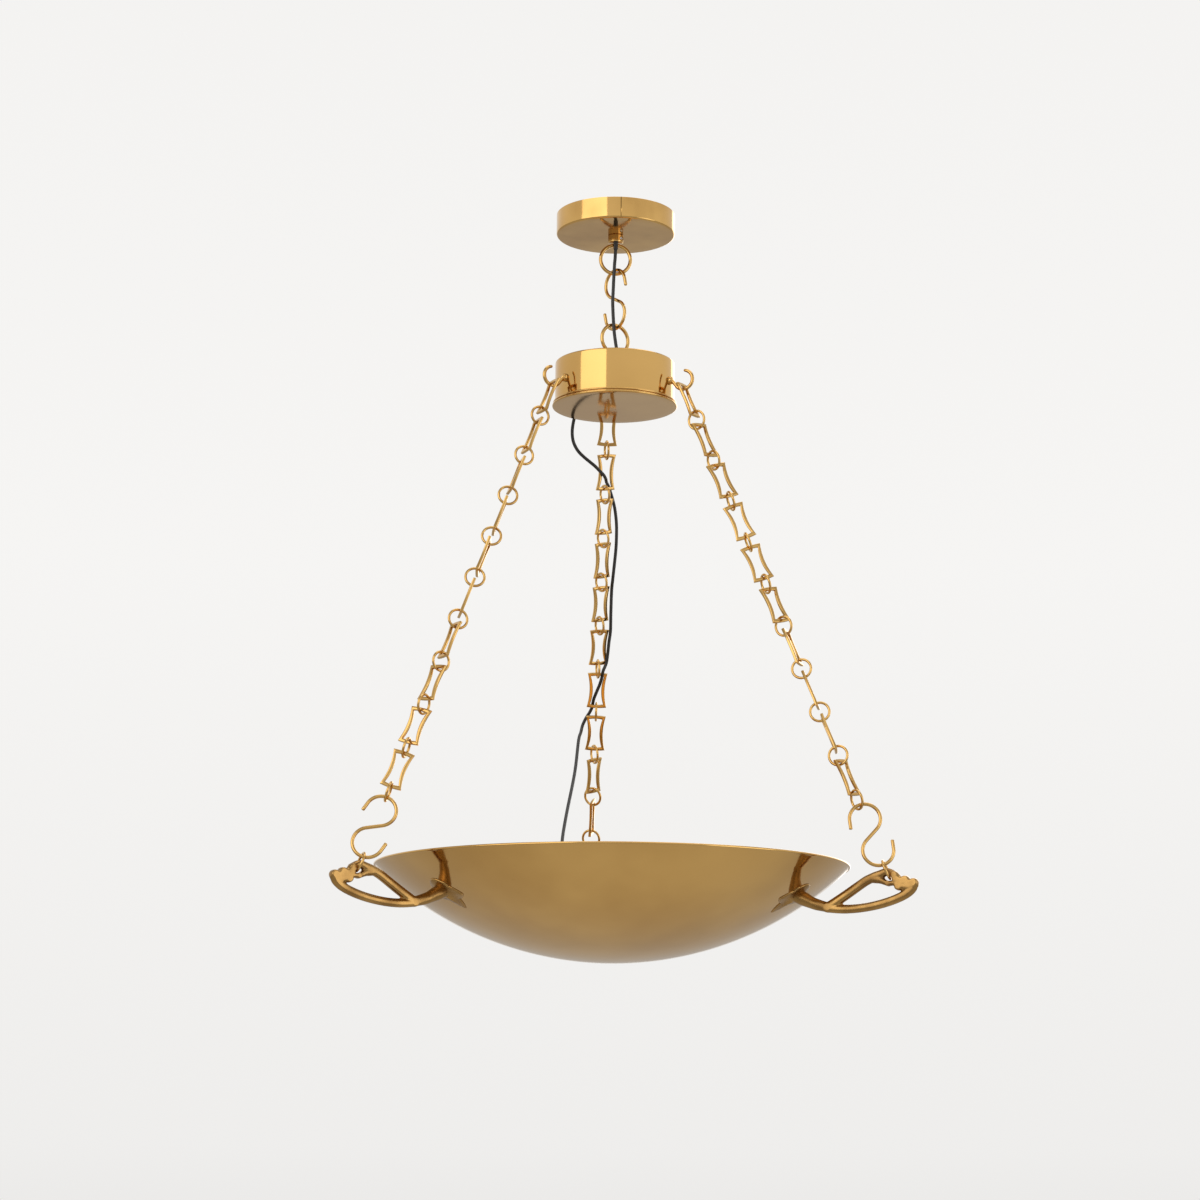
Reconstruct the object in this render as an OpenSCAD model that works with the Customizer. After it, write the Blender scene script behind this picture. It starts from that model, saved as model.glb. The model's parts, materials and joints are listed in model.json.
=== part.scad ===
// Bowl chandelier: a spun bowl hung from a hub by three chains, and the hub hung from a ceiling cup.
// The origin is the middle of the ceiling cup's rim, on the ceiling, with +Z up.
// The back arm points along +Y, and the camera side of the lamp is -Y.

/* [Canopy] */
// Diameter of the ceiling cup
canopy_d = 156; // [140:1:200]
// Height of the ceiling cup
canopy_h = 28; // [26:0.5:45]
// Thickness of the spun brass sheet
sheet_t = 1.5; // [1:0.1:2.5]
// Rounding of the spun edges
spun_edge = 2.5; // [2.5:0.1:4]
// Diameter of the ferrule under the cup
ferrule_d = 20; // [20:0.5:26]
// Height of the ferrule
ferrule_h = 10; // [8:0.5:20]
// Thread diameter of the bolt that carries the lamp
bolt_d = 8; // [6:0.5:8]
// Length of the bar that is screwed to the ceiling
bracket_l = 110; // [100:1:130]
// Width of the bar
bracket_w = 24; // [20:1:30]
// Thickness of the bar
bracket_t = 2; // [1.5:0.5:3]
// Distance between the bar's two screw holes
bracket_pitch = 80; // [70:1:90]
// Diameter of the bar's screw holes
bracket_hole_d = 5.2; // [4:0.1:6]

/* [Rings and hooks] */
// Outer diameter of the two round rings above the hub
ring_d = 44; // [42:0.5:50]
// Rod diameter of the two rings
ring_rod = 4.8; // [4:0.1:5]
// Rod diameter of the S-hooks and hub hooks
hook_rod = 4.6; // [4:0.1:4.8]
// Middle radius of an S-hook's loops
loop_r = 18.8; // [18:0.1:19.5]
// Length of an S-hook between the middles of its end rods
s_length = 80; // [79:0.5:90]
// How far an S-hook's tip runs round past its end
tip_turn = 110; // [80:1:120]
// Gap between pieces that hang in each other above the hub
hang_gap = 0.3; // [0.3:0.05:0.5]

/* [Hub] */
// Diameter of the hub drum
hub_d = 156; // [150:1:190]
// Height of the hub drum
hub_h = 53; // [50:1:70]
// How far the bottom plate stands out past the drum
lip = 3.5; // [2:0.1:5]
// Thickness of each of the bottom plate's two beads
bead_t = 2.8; // [2.5:0.1:4]
// Distance of a hub hook's middle from the drum wall
hook_out = 20; // [19:0.5:26]
// Middle radius of a hub hook
hook_r = 12.5; // [12:0.1:14]
// Height of a hub hook's boss above the drum's lower edge
boss_up = 21; // [18:0.5:26]

/* [Chains] */
// Number of links, and of rings, in each chain
pairs = 10; // [8:1:12]
// Outer diameter of a chain ring
chain_ring_d = 27; // [26.5:0.1:29]
// Rod diameter of a chain ring
chain_rod = 3.3; // [2.8:0.1:3.5]
// Length of a link's window
window_l = 41; // [38:0.5:46]
// Width of a link at its ends
link_w = 27; // [26:0.5:30]
// Width of a link at its waist
waist_w = 20.5; // [20:0.5:24]
// Width of a link's two long bars
side_bar = 4.6; // [4:0.1:5]
// Width of a link's two end bars
end_bar = 4.3; // [3.5:0.1:4.4]
// Thickness of a link
link_t = 3.6; // [3:0.1:3.8]
// How far a link's ends are bowed out
end_bow = 1; // [0.5:0.1:1.5]
// Gap between pieces of a chain that hang in each other
chain_gap = 0.5; // [0.4:0.05:0.6]
// Gap between a hub hook's rod and the end bar of its link, which slants in the hook
hook_gap = 1.7; // [1.5:0.05:1.9]
// Gap between an arm and its ring, which slants round it
arm_gap = 1; // [0.9:0.05:1.2]

/* [Bowl] */
// Diameter of the bowl
bowl_d = 600; // [560:1:640]
// Depth of the bowl
bowl_depth = 120; // [110:1:130]
// Thickness of the bowl's wall
bowl_t = 1.5; // [1.2:0.1:2.5]
// Radius of the bead round the rim
rim_bead = 1.8; // [1.5:0.1:2.5]

/* [Arms] */
// Distance from the bowl's rim out to the seat of an arm's ring
arm_reach = 67.6; // [62:0.1:72]
// Height of the bowl's rim above the seat of an arm's ring
arm_rise = 18; // [14:0.5:22]
// Half thickness of an arm's upper bar at the seat
seat_half = 4.8; // [4.4:0.1:5]
// Diameter of the two screws that hold each arm
arm_screw_d = 4; // [3:0.5:4.5]
// Distance from the bowl's axis to the lower screw of each arm
foot_r = 246; // [240:1:252]
// Distance between an arm's two screws
foot_pitch = 15; // [14:0.5:17]

/* [Lamps] */
// Diameter of the tray that holds the lampholders
tray_d = 150; // [140:1:170]
// Height of the tray above the bowl's lowest point inside
tray_up = 22; // [20:0.5:30]
// Thickness of the tray
tray_t = 1.5; // [1:0.1:2]
// Height of the lampholders' axis above the tray
lamp_up = 28; // [27:0.5:34]
// Distance of the lampholder brackets from the bowl's axis
lamp_in = 44; // [42:0.5:50]
// Outer diameter of a lampholder
holder_d = 29; // [26:0.5:32]
// Length of a lampholder
holder_l = 44; // [40:0.5:50]
// Diameter of a bulb's glass
bulb_d = 45; // [40:1:46]
// Diameter of a bulb's screw cap
cap_d = 14; // [12:0.5:14]
// Diameter of the stud that holds the tray
stud_d = 10; // [8:0.5:10]

/* [Cord] */
// Diameter of the black cord
cord_d = 4.4; // [4:0.1:4.6]

/* [Hidden] */

brass = "#c9a255";
cast_brass = "#8f6f38";
steel = "#b9bcc0";
black = "#1c1a18";
white = "#e9e5da";

left = 210;
right = 330;
back = 90;
arms = [left, right, back];
lamps = [150, 30, 270];
fit = 0.1;
seat_gap = 0.05;
$fn = 64;

// Heights above the hub, each from the piece that carries it
ring_c = (ring_d - ring_rod) / 2;
eye_drop = 3;
ring_hole_z = -canopy_h - ferrule_h - eye_drop;
top_ring_z = ring_hole_z - ring_c;
rod_meet = (ring_rod + hook_rod) / 2 + hang_gap;
top_hook_z = top_ring_z - ring_c + rod_meet;
low_hook_z = top_hook_z - s_length;
hub_ring_z = low_hook_z + rod_meet - ring_c;
eye_c = 8;
collar_h = 1.6;
hub_eye_z = hub_ring_z - ring_c + rod_meet - eye_c;
hub_top_z = hub_eye_z - eye_c - collar_h;
hub_low_z = hub_top_z - hub_h;
plate_low_z = hub_low_z - 2 * bead_t - 1;
canopy_r = canopy_d / 2;
hub_r = hub_d / 2;
boss_z = hub_low_z + boss_up;

// The chain runs straight from the low point of a hub hook's rod to the seat of an arm
chain_top_r = hub_r + hook_out;
chain_top_z = boss_z - 0.8 - hook_r;
ring_in = chain_ring_d / 2 - chain_rod;
chain_c = (chain_ring_d - chain_rod) / 2;
pitch = 2 * (ring_in - chain_gap) + window_l;
first_s = ring_in + window_l - hook_rod / 2 - chain_gap - hook_gap;
last_s = first_s + (pairs - 1) * pitch;
hook_s = last_s + ring_in - hook_rod / 2 - chain_gap;
arm_ring_s = hook_s + s_length - hook_rod / 2 - chain_gap + ring_in;
seat_tilt = 44;
seat_s = arm_ring_s + ring_in - arm_gap - seat_half / cos(seat_tilt);
bowl_r = bowl_d / 2;
seat_r = bowl_r + arm_reach;
chain_slope = asin((seat_r - chain_top_r) / seat_s);
seat_z = chain_top_z - seat_s * cos(chain_slope);

// How far each link is turned about its chain, from the hub down, then the S-hook and the arm's ring
left_turns = [-5, -10, -20, -30, -35, -25, -5, 15, 40, 55];
right_turns = [-5, -20, -45, -65, -60, -35, 5, 15, 20, -15];
back_turns = [-5, 20, 30, 35, 30, 15, -5, -5, 40, 75];
left_hook_turn = 55;
right_hook_turn = -65;
back_hook_turn = 60;
left_ring_turn = -15;
right_ring_turn = 10;
back_ring_turn = -15;
// A chain with more links keeps the last turn
function turn_of(turns, i) = turns[min(i, len(turns) - 1)];

// The bowl is part of a sphere
rim_z = seat_z + arm_rise;
ball_r = (pow(bowl_r, 2) + pow(bowl_depth, 2)) / (2 * bowl_depth);
ball_z = rim_z - bowl_depth + ball_r;
bowl_in_z = rim_z - bowl_depth + bowl_t;
tray_z = bowl_in_z + tray_up;
lamp_z = tray_z + tray_t + lamp_up;
grip_at = [-62, 0];
grip_z = tray_z + tray_t + seat_gap;
grip_h = 20;
grip_floor = 4;
in_grip = [grip_at[0], grip_at[1], grip_z];

// Where the cord leaves the drum's wall
wire_exit = 118;
wire_exit_z = hub_low_z + 10;
function wire_out(k) = [k * hub_r * cos(wire_exit), k * hub_r * sin(wire_exit), wire_exit_z];

// The cord's route, by hand, in the stretches between the moving pieces
ferrule_route = [[-0.5, -7, -38], [-0.5, -7, -46], [-0.8, -7, -54], [-1.2, -7, -62], [-1.8, -7, -69]];
ring_route = [[-1.8, -7, -69], [-2.3, -7, -79], [-2.8, -7, -89], [-3.2, -7, -100], [-3.6, -7, -110]];
hook_route = [[-3.6, -7, -110], [-4, -7, -120], [-3.6, -7, -132], [-3, -7, -144], [-2.4, -8, -155],
    [-1.6, -9, -165]];
hub_route = [[-1.6, -9, -165], [-0.6, -10.6, -174], [0.4, -12.4, -182], [1.4, -14.8, -189], [2, -16, -195],
    [2, -16, -202]];
drum_route = [wire_out(1), wire_out(1.1), [-44.5, 84.5, -250], [-47, 92, -259],
    [-48, 98, -271], [-46, 103, -283], [-40, 106, -294], [-31, 107, -303], [-16.9, 109.8, -313.6],
    [-9.1, 117.4, -318.9], [-3.5, 122.7, -322.9], [0.1, 130.2, -326.7], [1.8, 137.7, -329.4],
    [5.7, 146.3, -333.9]];
chain_route = [[5.7, 146.3, -333.9], [12, 156.5, -349], [15.5, 160.5, -362], [18, 165, -380],
    [18.5, 169, -399], [18, 174, -417], [15.6, 186, -450], [14.6, 194.5, -467], [14.6, 204, -496],
    [14.9, 211.9, -519.1], [13.4, 217.6, -534.1], [12.4, 223.6, -548.9], [10.8, 227.9, -561.2],
    [6.6, 228.8, -572.1], [5.5, 232.8, -579.7], [3.1, 238.7, -588.5], [-0.7, 246.3, -598.4],
    [-3.7, 252.9, -606.4], [-4.7, 258.1, -611.8], [-5.5, 262.1, -617.2], [-8.4, 265.9, -623.7],
    [-12.9, 269.4, -630.9]];
bowl_route = [[-12.9, 269.4, -630.9], [-17.6, 267.5, -641], [-21, 257, -653], [-25.3, 240, -667],
    [-34, 190, -718], [-50, 120, -784], [-58, 78, -824], [-61.5, 38, -868], [-62, 14, -901], [-62, 3, -920],
    in_grip + [0, 0, grip_h + 5], in_grip + [0, 0, grip_floor + 0.3]];

// Distance down a chain to the middle of a ring
function ring_s(i) = first_s + i * pitch;

// Smooth tube along a route: a ring of points at each of its points, of radius r
function unit(v) = v / norm(v);
function heading(p, i) = unit(p[min(i + 1, len(p) - 1)] - p[max(i - 1, 0)]);
function tube_ring(at, along, side, up_r, side_r, n) =
    let (a = unit(cross(along, side)), b = cross(a, along))
    [for (k = [0 : n - 1]) at + a * up_r * cos(k * 360 / n) + b * side_r * sin(k * 360 / n)];
function flat(rings) = [for (ring = rings) for (p = ring) p];

module skin(rings) {
    n = len(rings[0]);
    last = len(rings) - 1;
    sides = [for (i = [0 : last - 1]) for (k = [0 : n - 1]) each [
        [i * n + k, i * n + (k + 1) % n, (i + 1) * n + k],
        [i * n + (k + 1) % n, (i + 1) * n + (k + 1) % n, (i + 1) * n + k]]];
    start = [for (k = [n - 1 : -1 : 0]) k];
    end = [for (k = [0 : n - 1]) last * n + k];
    polyhedron(flat(rings), concat([start], sides, [end]), convexity = 6);
}

module tube(route, r, side = [1, 0, 0], n = 8) {
    skin([for (i = [0 : len(route) - 1]) tube_ring(route[i], heading(route, i), side, r, r, n)]);
}

// One stretch of a cord that goes on before and after it, so that its end faces meet the next stretches
ring_side = [1, 0, 0];
chain_side = [0.3, 1, 0];
function near_end(route) = route[len(route) - 2];
module cord(before, route, after, side) {
    whole = concat(before, route, after);
    first = len(before);
    color(black) skin([for (i = [first : first + len(route) - 1])
        tube_ring(whole[i], heading(whole, i), side, cord_d / 2, cord_d / 2, 8)]);
}

module torus(middle_r, rod) {
    rotate_extrude() translate([middle_r, 0]) circle(d = rod, $fn = 32);
}

module hex_nut(wide, bore, h) {
    difference() {
        cylinder(d = wide, h = h, $fn = 6);
        translate([0, 0, -1]) cylinder(d = bore, h = h + 2);
    }
}

module hex_nut_on(wide, bore, h, z) {
    translate([0, 0, z]) hex_nut(wide, bore, h);
}

// Half outline of a round cup with its mouth at y = 0 and a rounded closed end at y = h
module cup_half(r, h, edge) {
    square([r - edge, h]);
    square([r, h - edge]);
    translate([r - edge, h - edge]) circle(edge);
}

module cup(r, h, wall, edge) {
    rotate_extrude($fn = 180) difference() {
        cup_half(r, h, edge);
        translate([0, -1]) cup_half(r - wall, h - wall + 1, edge - wall);
    }
}

// Round arc of rod in the XY plane, from one angle round to another
module arc_rod(middle_r, rod, from, turn) {
    rotate([0, 0, from]) rotate_extrude(angle = turn) translate([middle_r, 0]) circle(d = rod, $fn = 32);
}

// Straight rod from one point to another, running a little way into the arcs at its ends
module rod_between(a, b, rod) {
    over = 1;
    gap = b - a;
    translate([a[0], a[1], 0]) rotate([0, 0, atan2(gap[1], gap[0])]) translate([-over, 0, 0]) rotate([0, 90, 0])
        cylinder(d = rod - fit, h = norm(gap) + 2 * over, $fn = 32);
}

module rod_tip(middle_r, rod, at) {
    translate([middle_r * cos(at), middle_r * sin(at), 0]) sphere(d = rod - fit, $fn = 32);
}

// S-hook lying in the XY plane with its long axis along Y
module s_hook() {
    rise = s_length / 2 - loop_r;
    lean = acos(loop_r / rise);
    from = lean - 90;
    turn = 90 + tip_turn - from;
    meet = [loop_r * cos(from), rise + loop_r * sin(from)];
    rod_between(-meet, meet, hook_rod);
    for (half = [0, 180]) rotate([0, 0, half]) translate([0, rise, 0]) {
        arc_rod(loop_r, hook_rod, from, turn);
        rod_tip(loop_r, hook_rod, from + turn);
    }
}

// Place on a chain: s is the distance down it, and turn is how far the piece is turned about it
module on_chain(arm, s, turn) {
    rotate([0, 0, arm]) translate([chain_top_r, 0, chain_top_z]) rotate([0, -chain_slope, 0])
        translate([0, 0, -s]) rotate([0, 0, turn]) children();
}

// Place on the outside of the bowl, r from its axis, with +Z pointing out of the metal
module on_bowl(arm, r) {
    rotate([0, 0, arm]) translate([0, 0, ball_z]) rotate([0, 180 - asin(r / ball_r), 0])
        translate([0, 0, ball_r]) children();
}

function bowl_out_z(r) = ball_z - sqrt(pow(ball_r, 2) - pow(r, 2));
function bowl_wall_z(r) = ball_z - sqrt(pow(ball_r - bowl_t, 2) - pow(r, 2));

// The ceiling cup and what holds it
cord_front = 7;
cord_side = -0.5;
cord_hole = cord_d + 0.4;
nut_h = 6.5;
nut_w = 15;

module canopy() {
    seam = 0.4;
    color(brass) difference() {
        mirror([0, 0, 1]) cup(canopy_r, canopy_h, sheet_t, spun_edge);
        translate([0, 0, -canopy_h - 1]) cylinder(d = bolt_d + 2 * fit, h = sheet_t + 2);
        translate([cord_side, -cord_front, -canopy_h - 1]) cylinder(d = cord_hole, h = sheet_t + 2);
        translate([-seam / 2, -canopy_r - 1, -canopy_h + spun_edge]) cube([seam, 1 + seam, canopy_h]);
    }
}

module ceiling_bracket() {
    color(steel) difference() {
        translate([-bracket_l / 2, -bracket_w / 2, -bracket_t]) cube([bracket_l, bracket_w, bracket_t]);
        translate([0, 0, -bracket_t - 1]) cylinder(d = bolt_d + 2 * fit, h = bracket_t + 2);
        for (x = [-bracket_pitch / 2, bracket_pitch / 2])
            translate([x, 0, -bracket_t - 1]) cylinder(d = bracket_hole_d, h = bracket_t + 2);
    }
}

module suspension_bolt() {
    low = canopy_h + ferrule_h - 2;
    color(steel) translate([0, 0, -low]) cylinder(d = bolt_d, h = low - seat_gap);
}

module suspension_nut() {
    color(steel) hex_nut_on(nut_w, bolt_d + 2 * fit, nut_h, -bracket_t - seat_gap - nut_h);
}

screw_turn = -50;
screw_d = 2.6;
screw_in = 7;
module ferrule() {
    eye_r = ring_rod / 2 + hang_gap + fit;
    eye_wall = 1.65;
    eye_t = 4;
    trim = 3.9;
    low = canopy_h + ferrule_h;
    color(brass) difference() {
        union() {
            translate([0, 0, -low]) cylinder(d = ferrule_d, h = ferrule_h - seat_gap);
            translate([-eye_t / 2, -trim, ring_hole_z]) cube([eye_t, trim + eye_r + eye_wall, eye_drop + 1]);
            intersection() {
                translate([-eye_t / 2, 0, ring_hole_z]) rotate([0, 90, 0]) cylinder(r = eye_r + eye_wall, h = eye_t);
                translate([-eye_t, -trim, ring_hole_z - 9]) cube([2 * eye_t, 20, 18]);
            }
        }
        translate([-eye_t, 0, ring_hole_z]) rotate([0, 90, 0]) cylinder(r = eye_r, h = 2 * eye_t);
        translate([0, 0, -low + 1.9]) cylinder(d = bolt_d + 2 * fit, h = ferrule_h);
        translate([cord_side, -cord_front, -low - 1]) cylinder(d = cord_hole, h = ferrule_h + 2);
        rotate([0, 0, screw_turn]) translate([screw_in, 0, -canopy_h - ferrule_h / 2]) rotate([0, 90, 0])
            cylinder(d = screw_d + 2 * fit, h = ferrule_d);
    }
}

module ferrule_screw() {
    color(steel) rotate([0, 0, screw_turn]) translate([screw_in + fit, 0, -canopy_h - ferrule_h / 2])
        rotate([0, 90, 0]) {
            cylinder(d = screw_d, h = ferrule_d / 2 - screw_in);
            translate([0, 0, ferrule_d / 2 - screw_in]) cylinder(d = screw_d + 1.6, h = 1);
        }
}

// Terminal block, hung by its top face at z, with its wire ways along Y
module terminal_block(l, w, h, z) {
    ways = 3;
    difference() {
        translate([-l / 2, -w / 2, z - h]) cube([l, w, h]);
        for (i = [0 : ways - 1]) translate([(i + 0.5) * l / ways - l / 2, -w, z - h / 2])
            rotate([-90, 0, 0]) cylinder(d = 3, h = 2 * w);
    }
}

module mains_terminal() {
    color(white) translate([24, 0, 0]) terminal_block(22, 14, 11, -bracket_t - seat_gap);
}

module canopy_lead() {
    low = -canopy_h - ferrule_h;
    color(black) tube([[cord_side, -cord_front, low], [cord_side, -cord_front, low + 7],
        [cord_side, -cord_front, low + 13], [2, -9.5, low + 18], [8, -14, low + 23], [16, -18, low + 27.5],
        [22.5, -18, low + 30], [24, -13, low + 30.4], [24, -7.1, low + 30.4]], cord_d / 2, [1, 0.4, 0.3]);
}

module cord_sleeve() {
    h = 11;
    color(black) translate([cord_side, -cord_front, -canopy_h - ferrule_h - seat_gap - h]) difference() {
        cylinder(d = 6, h = h);
        translate([0, 0, -1]) cylinder(d = cord_d + 2 * fit, h = h + 2);
    }
}

// Rings and hook between the ferrule and the hub
hook_face = 126;
hub_ring_face = 25;

module top_ring() {
    color(brass) translate([0, 0, top_ring_z]) rotate([90, 0, 0]) torus(ring_c, ring_rod);
}

module top_hook() {
    color(brass) translate([0, 0, (top_hook_z + low_hook_z) / 2]) rotate([0, 0, hook_face])
        rotate([90, 0, 0]) s_hook();
}

module hub_ring() {
    color(brass) translate([0, 0, hub_ring_z]) rotate([90, 0, hub_ring_face]) torus(ring_c, ring_rod);
}

// The hub
grommet_hole = cord_d + 2.8;
hub_cord = [2, -16];
stem_d = 5;

module hub_drum() {
    color(brass) difference() {
        translate([0, 0, hub_low_z]) cup(hub_r, hub_h, sheet_t, spun_edge);
        translate([0, 0, hub_top_z - sheet_t - 1]) cylinder(d = bolt_d + 2 * fit, h = sheet_t + 2);
        translate([hub_cord[0], hub_cord[1], hub_top_z - sheet_t - 1])
            cylinder(d = grommet_hole, h = sheet_t + 2);
        rotate([0, 0, wire_exit]) translate([hub_r - 5, 0, wire_exit_z]) rotate([0, 90, 0])
            cylinder(d = grommet_hole, h = 10);
        for (arm = arms) rotate([0, 0, arm]) translate([hub_r - 5, 0, boss_z]) rotate([0, 90, 0])
            cylinder(d = stem_d + 2 * fit, h = 10);
    }
}

// Round disc with a half-round edge
module bead_half(r, t) {
    square([r - t / 2, t]);
    translate([r - t / 2, t / 2]) circle(d = t);
}

module hub_plate() {
    inner = hub_r - sheet_t - fit;
    groove = 1;
    spigot = 6;
    color(brass) translate([0, 0, plate_low_z - seat_gap]) rotate_extrude($fn = 180) {
        bead_half(hub_r + lip, bead_t);
        translate([0, bead_t]) square([hub_r + lip - bead_t, groove]);
        translate([0, bead_t + groove]) bead_half(hub_r + lip - 1, bead_t);
        translate([inner - sheet_t, bead_t]) square([sheet_t, bead_t + groove + spigot]);
    }
}

module hub_eye() {
    color(brass) {
        translate([0, 0, hub_eye_z]) rotate([90, 0, hub_ring_face + 90]) torus(eye_c, hook_rod);
        translate([0, 0, hub_top_z + seat_gap]) cylinder(d = 2 * eye_c, h = collar_h);
        translate([0, 0, hub_top_z - sheet_t - nut_h - 2]) cylinder(d = bolt_d, h = sheet_t + nut_h + 3);
    }
}

module hub_hook(arm) {
    boss_d = 11;
    boss_l = 4.5;
    seat = hub_r + seat_gap;
    start = [seat + boss_l - 1, boss_z];
    middle = [chain_top_r, chain_top_z + hook_r];
    gap = start - middle;
    from = atan2(gap[1], gap[0]) + acos(hook_r / norm(gap));
    end = 440;
    meet = middle + hook_r * [cos(from), sin(from)];
    color(brass) rotate([0, 0, arm]) {
        translate([seat, 0, boss_z]) rotate([0, 90, 0]) cylinder(d = boss_d, h = boss_l);
        translate([hub_r - 9, 0, boss_z]) rotate([0, 90, 0]) cylinder(d = stem_d, h = 10);
        rotate([90, 0, 0]) {
            rod_between(start, meet, hook_rod);
            translate([middle[0], middle[1], 0]) {
                arc_rod(hook_r, hook_rod, from, end - from);
                rod_tip(hook_r, hook_rod, end);
            }
        }
    }
}

module hub_nuts() {
    h = 4;
    color(steel) hex_nut_on(nut_w, bolt_d + 2 * fit, nut_h, hub_top_z - sheet_t - seat_gap - nut_h);
    color(steel) for (arm = arms) rotate([0, 0, arm])
        translate([hub_r - sheet_t - 0.3 - h, 0, boss_z]) rotate([0, 90, 0]) hex_nut(11.5, stem_d + 2 * fit, h);
}

module hub_terminal() {
    color(white) translate([0, 19, 0]) terminal_block(24, 14, 11, hub_top_z - sheet_t - seat_gap);
}

module hub_leads() {
    top = hub_top_z;
    block = hub_top_z - sheet_t - seat_gap - 11;
    color(black) {
        tube([[hub_cord[0], hub_cord[1], top], [2, -16, top - 9], [4, -14, top - 18], [8, -6, top - 25],
            [9, 6, top - 28], [8.3, 15, top - 26], [8, 19, top - 20], [8, 19, block - fit]],
            cord_d / 2, [1, 0.3, 0.2]);
        tube([[-6, 19, block - fit], [-6, 19, block - 6], [-7, 23, block - 12], [-11, 31, block - 19],
            [-19, 43, wire_exit_z + 4], wire_out(0.82) + [0, 0, 0.5], wire_out(0.92), wire_out(1)],
            cord_d / 2, [1, 0.3, 0.2]);
    }
}

// Rubber bush with its flange at z = 0 and its neck below it
module grommet(neck) {
    flange = 1.4;
    difference() {
        union() {
            cylinder(d = grommet_hole + 3, h = flange);
            translate([0, 0, -neck]) cylinder(d = grommet_hole - 2 * fit, h = neck + flange / 2);
        }
        translate([0, 0, -neck - 1]) cylinder(d = cord_d + 2 * fit, h = neck + flange + 2);
    }
}

module hub_grommets() {
    color(black) {
        translate([hub_cord[0], hub_cord[1], hub_top_z + seat_gap]) grommet(sheet_t + 1);
        rotate([0, 0, wire_exit]) translate([hub_r + 0.2, 0, wire_exit_z]) rotate([0, 90, 0]) grommet(sheet_t + 1);
    }
}

// Chain pieces. A link lies in the YZ plane, waisted along its length
module waisted(w, l, waist, bow) {
    cut = (w - waist) / 2;
    half = l / 2;
    side_r = (pow(half, 2) + pow(cut, 2)) / (2 * cut);
    end_r = (pow(w / 2, 2) + pow(bow, 2)) / (2 * bow);
    difference() {
        square([w, l + 2 * bow], center = true);
        for (side = [-1, 1]) {
            translate([side * (waist / 2 + side_r), 0]) circle(side_r, $fn = 180);
            difference() {
                translate([0, side * (half + bow)]) square([2 * w, 3 * bow], center = true);
                translate([0, side * (half + bow - end_r)]) circle(end_r, $fn = 360);
            }
        }
    }
}

module link() {
    color(brass) rotate([90, 0, 90]) linear_extrude(link_t, center = true) difference() {
        waisted(link_w, window_l + 2 * end_bar - 2 * end_bow, waist_w, end_bow);
        waisted(link_w - 2 * side_bar, window_l - 2 * end_bow, waist_w - 2 * side_bar, end_bow);
    }
}

module chain_links(arm, turns) {
    for (i = [0 : pairs - 1]) on_chain(arm, ring_s(i) - ring_in + chain_gap - window_l / 2, turn_of(turns, i)) link();
}

module chain_rings(arm, turns, hook_turn) {
    for (i = [0 : pairs - 1]) {
        next = i < pairs - 1 ? turn_of(turns, i + 1) : hook_turn;
        on_chain(arm, ring_s(i), (turn_of(turns, i) + next) / 2) rotate([90, 0, 0])
            color(brass) torus(chain_c, chain_rod);
    }
}

module chain_hook(arm, turn) {
    color(brass) on_chain(arm, hook_s + s_length / 2, turn) rotate([90, 0, 90]) s_hook();
}

module arm_ring(arm, turn) {
    color(brass) on_chain(arm, arm_ring_s, turn) rotate([0, 90, 0]) torus(chain_c, chain_rod);
}

// A cast arm. Each entry of a bar is [out from the seat, up from the seat, half height, half width]
upper_bar = [[-75.6, -36, 6, 6], [-59.6, -27.4, 6.4, 6], [-42.6, -15.4, 6.8, 6], [-27, -5.4, 6.8, 6],
    [-16, -2, 6, 5.8], [-7.6, -0.3, 5, 5.2], [0, 0, seat_half, 5], [8.4, -2.6, 5.4, 5.4],
    [18.4, -5.8, 6.2, 6], [28.4, -9.8, 6.4, 6.2], [33.4, -15, 6.2, 6.2]];
lower_bar = [[33.4, -13, 5.6, 6], [31.4, -20.4, 5.8, 6], [21.4, -25.6, 5.6, 5.8], [3.4, -29.8, 5.5, 5.6],
    [-17.6, -34.2, 5.6, 5.6], [-38.6, -37.2, 5.6, 5.6], [-59.6, -38.2, 5.8, 5.8], [-77, -37, 6, 6]];
stem = [[-77, -36.6, 6.2, 6.4], [-98, -32, 7.6, 8], [-113, -26, 10, 9.5], [-126, -21, 9, 9]];
// Round lobes of the casting: [out from the seat, up from the seat, radius]
lobes = [[11, 0.4, 4.8], [20, -2.4, 5.2], [29, -6.4, 5.4], [36.2, -13.4, 4.6], [33.4, -15, 6.3],
    [14.6, -13.4, 3.8], [21.5, -19, 3.6], [-75.6, -36.6, 6.3], [-24, 0, 4.6]];
// Leaf on the bowl: [angle of a finger, its length]
fingers = [[-84, 27], [-42, 36], [0, 40], [42, 36], [84, 27]];
finger_shape = [[0, 4.6], [0.3, 5], [0.62, 4.4], [0.86, 2.8], [1, 1.1]];

function bar_rings(bar) = [for (i = [0 : len(bar) - 1])
    let (at = [for (b = bar) [seat_r + b[0], 0, seat_z + b[1]]])
    tube_ring(at[i], heading(at, i), [0, 1, 0], bar[i][2], bar[i][3], 14)];

function ball_point(x, y, out) =
    let (r = norm([x, y]), tilt = asin(r / ball_r), az = atan2(y, x))
    [0, 0, ball_z] + (ball_r + out) * [sin(tilt) * cos(az), sin(tilt) * sin(az), -cos(tilt)];

module finger(turn, l) {
    leaf_r = foot_r + foot_pitch + 2;
    route = [for (f = finger_shape) ball_point(leaf_r - f[0] * l * cos(turn), f[0] * l * sin(turn), 0.6)];
    side = ball_point(leaf_r, 0, 0) - [0, 0, ball_z];
    skin([for (i = [0 : len(route) - 1])
        tube_ring(route[i], heading(route, i), side, finger_shape[i][1], finger_shape[i][1], 10)]);
}

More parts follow.
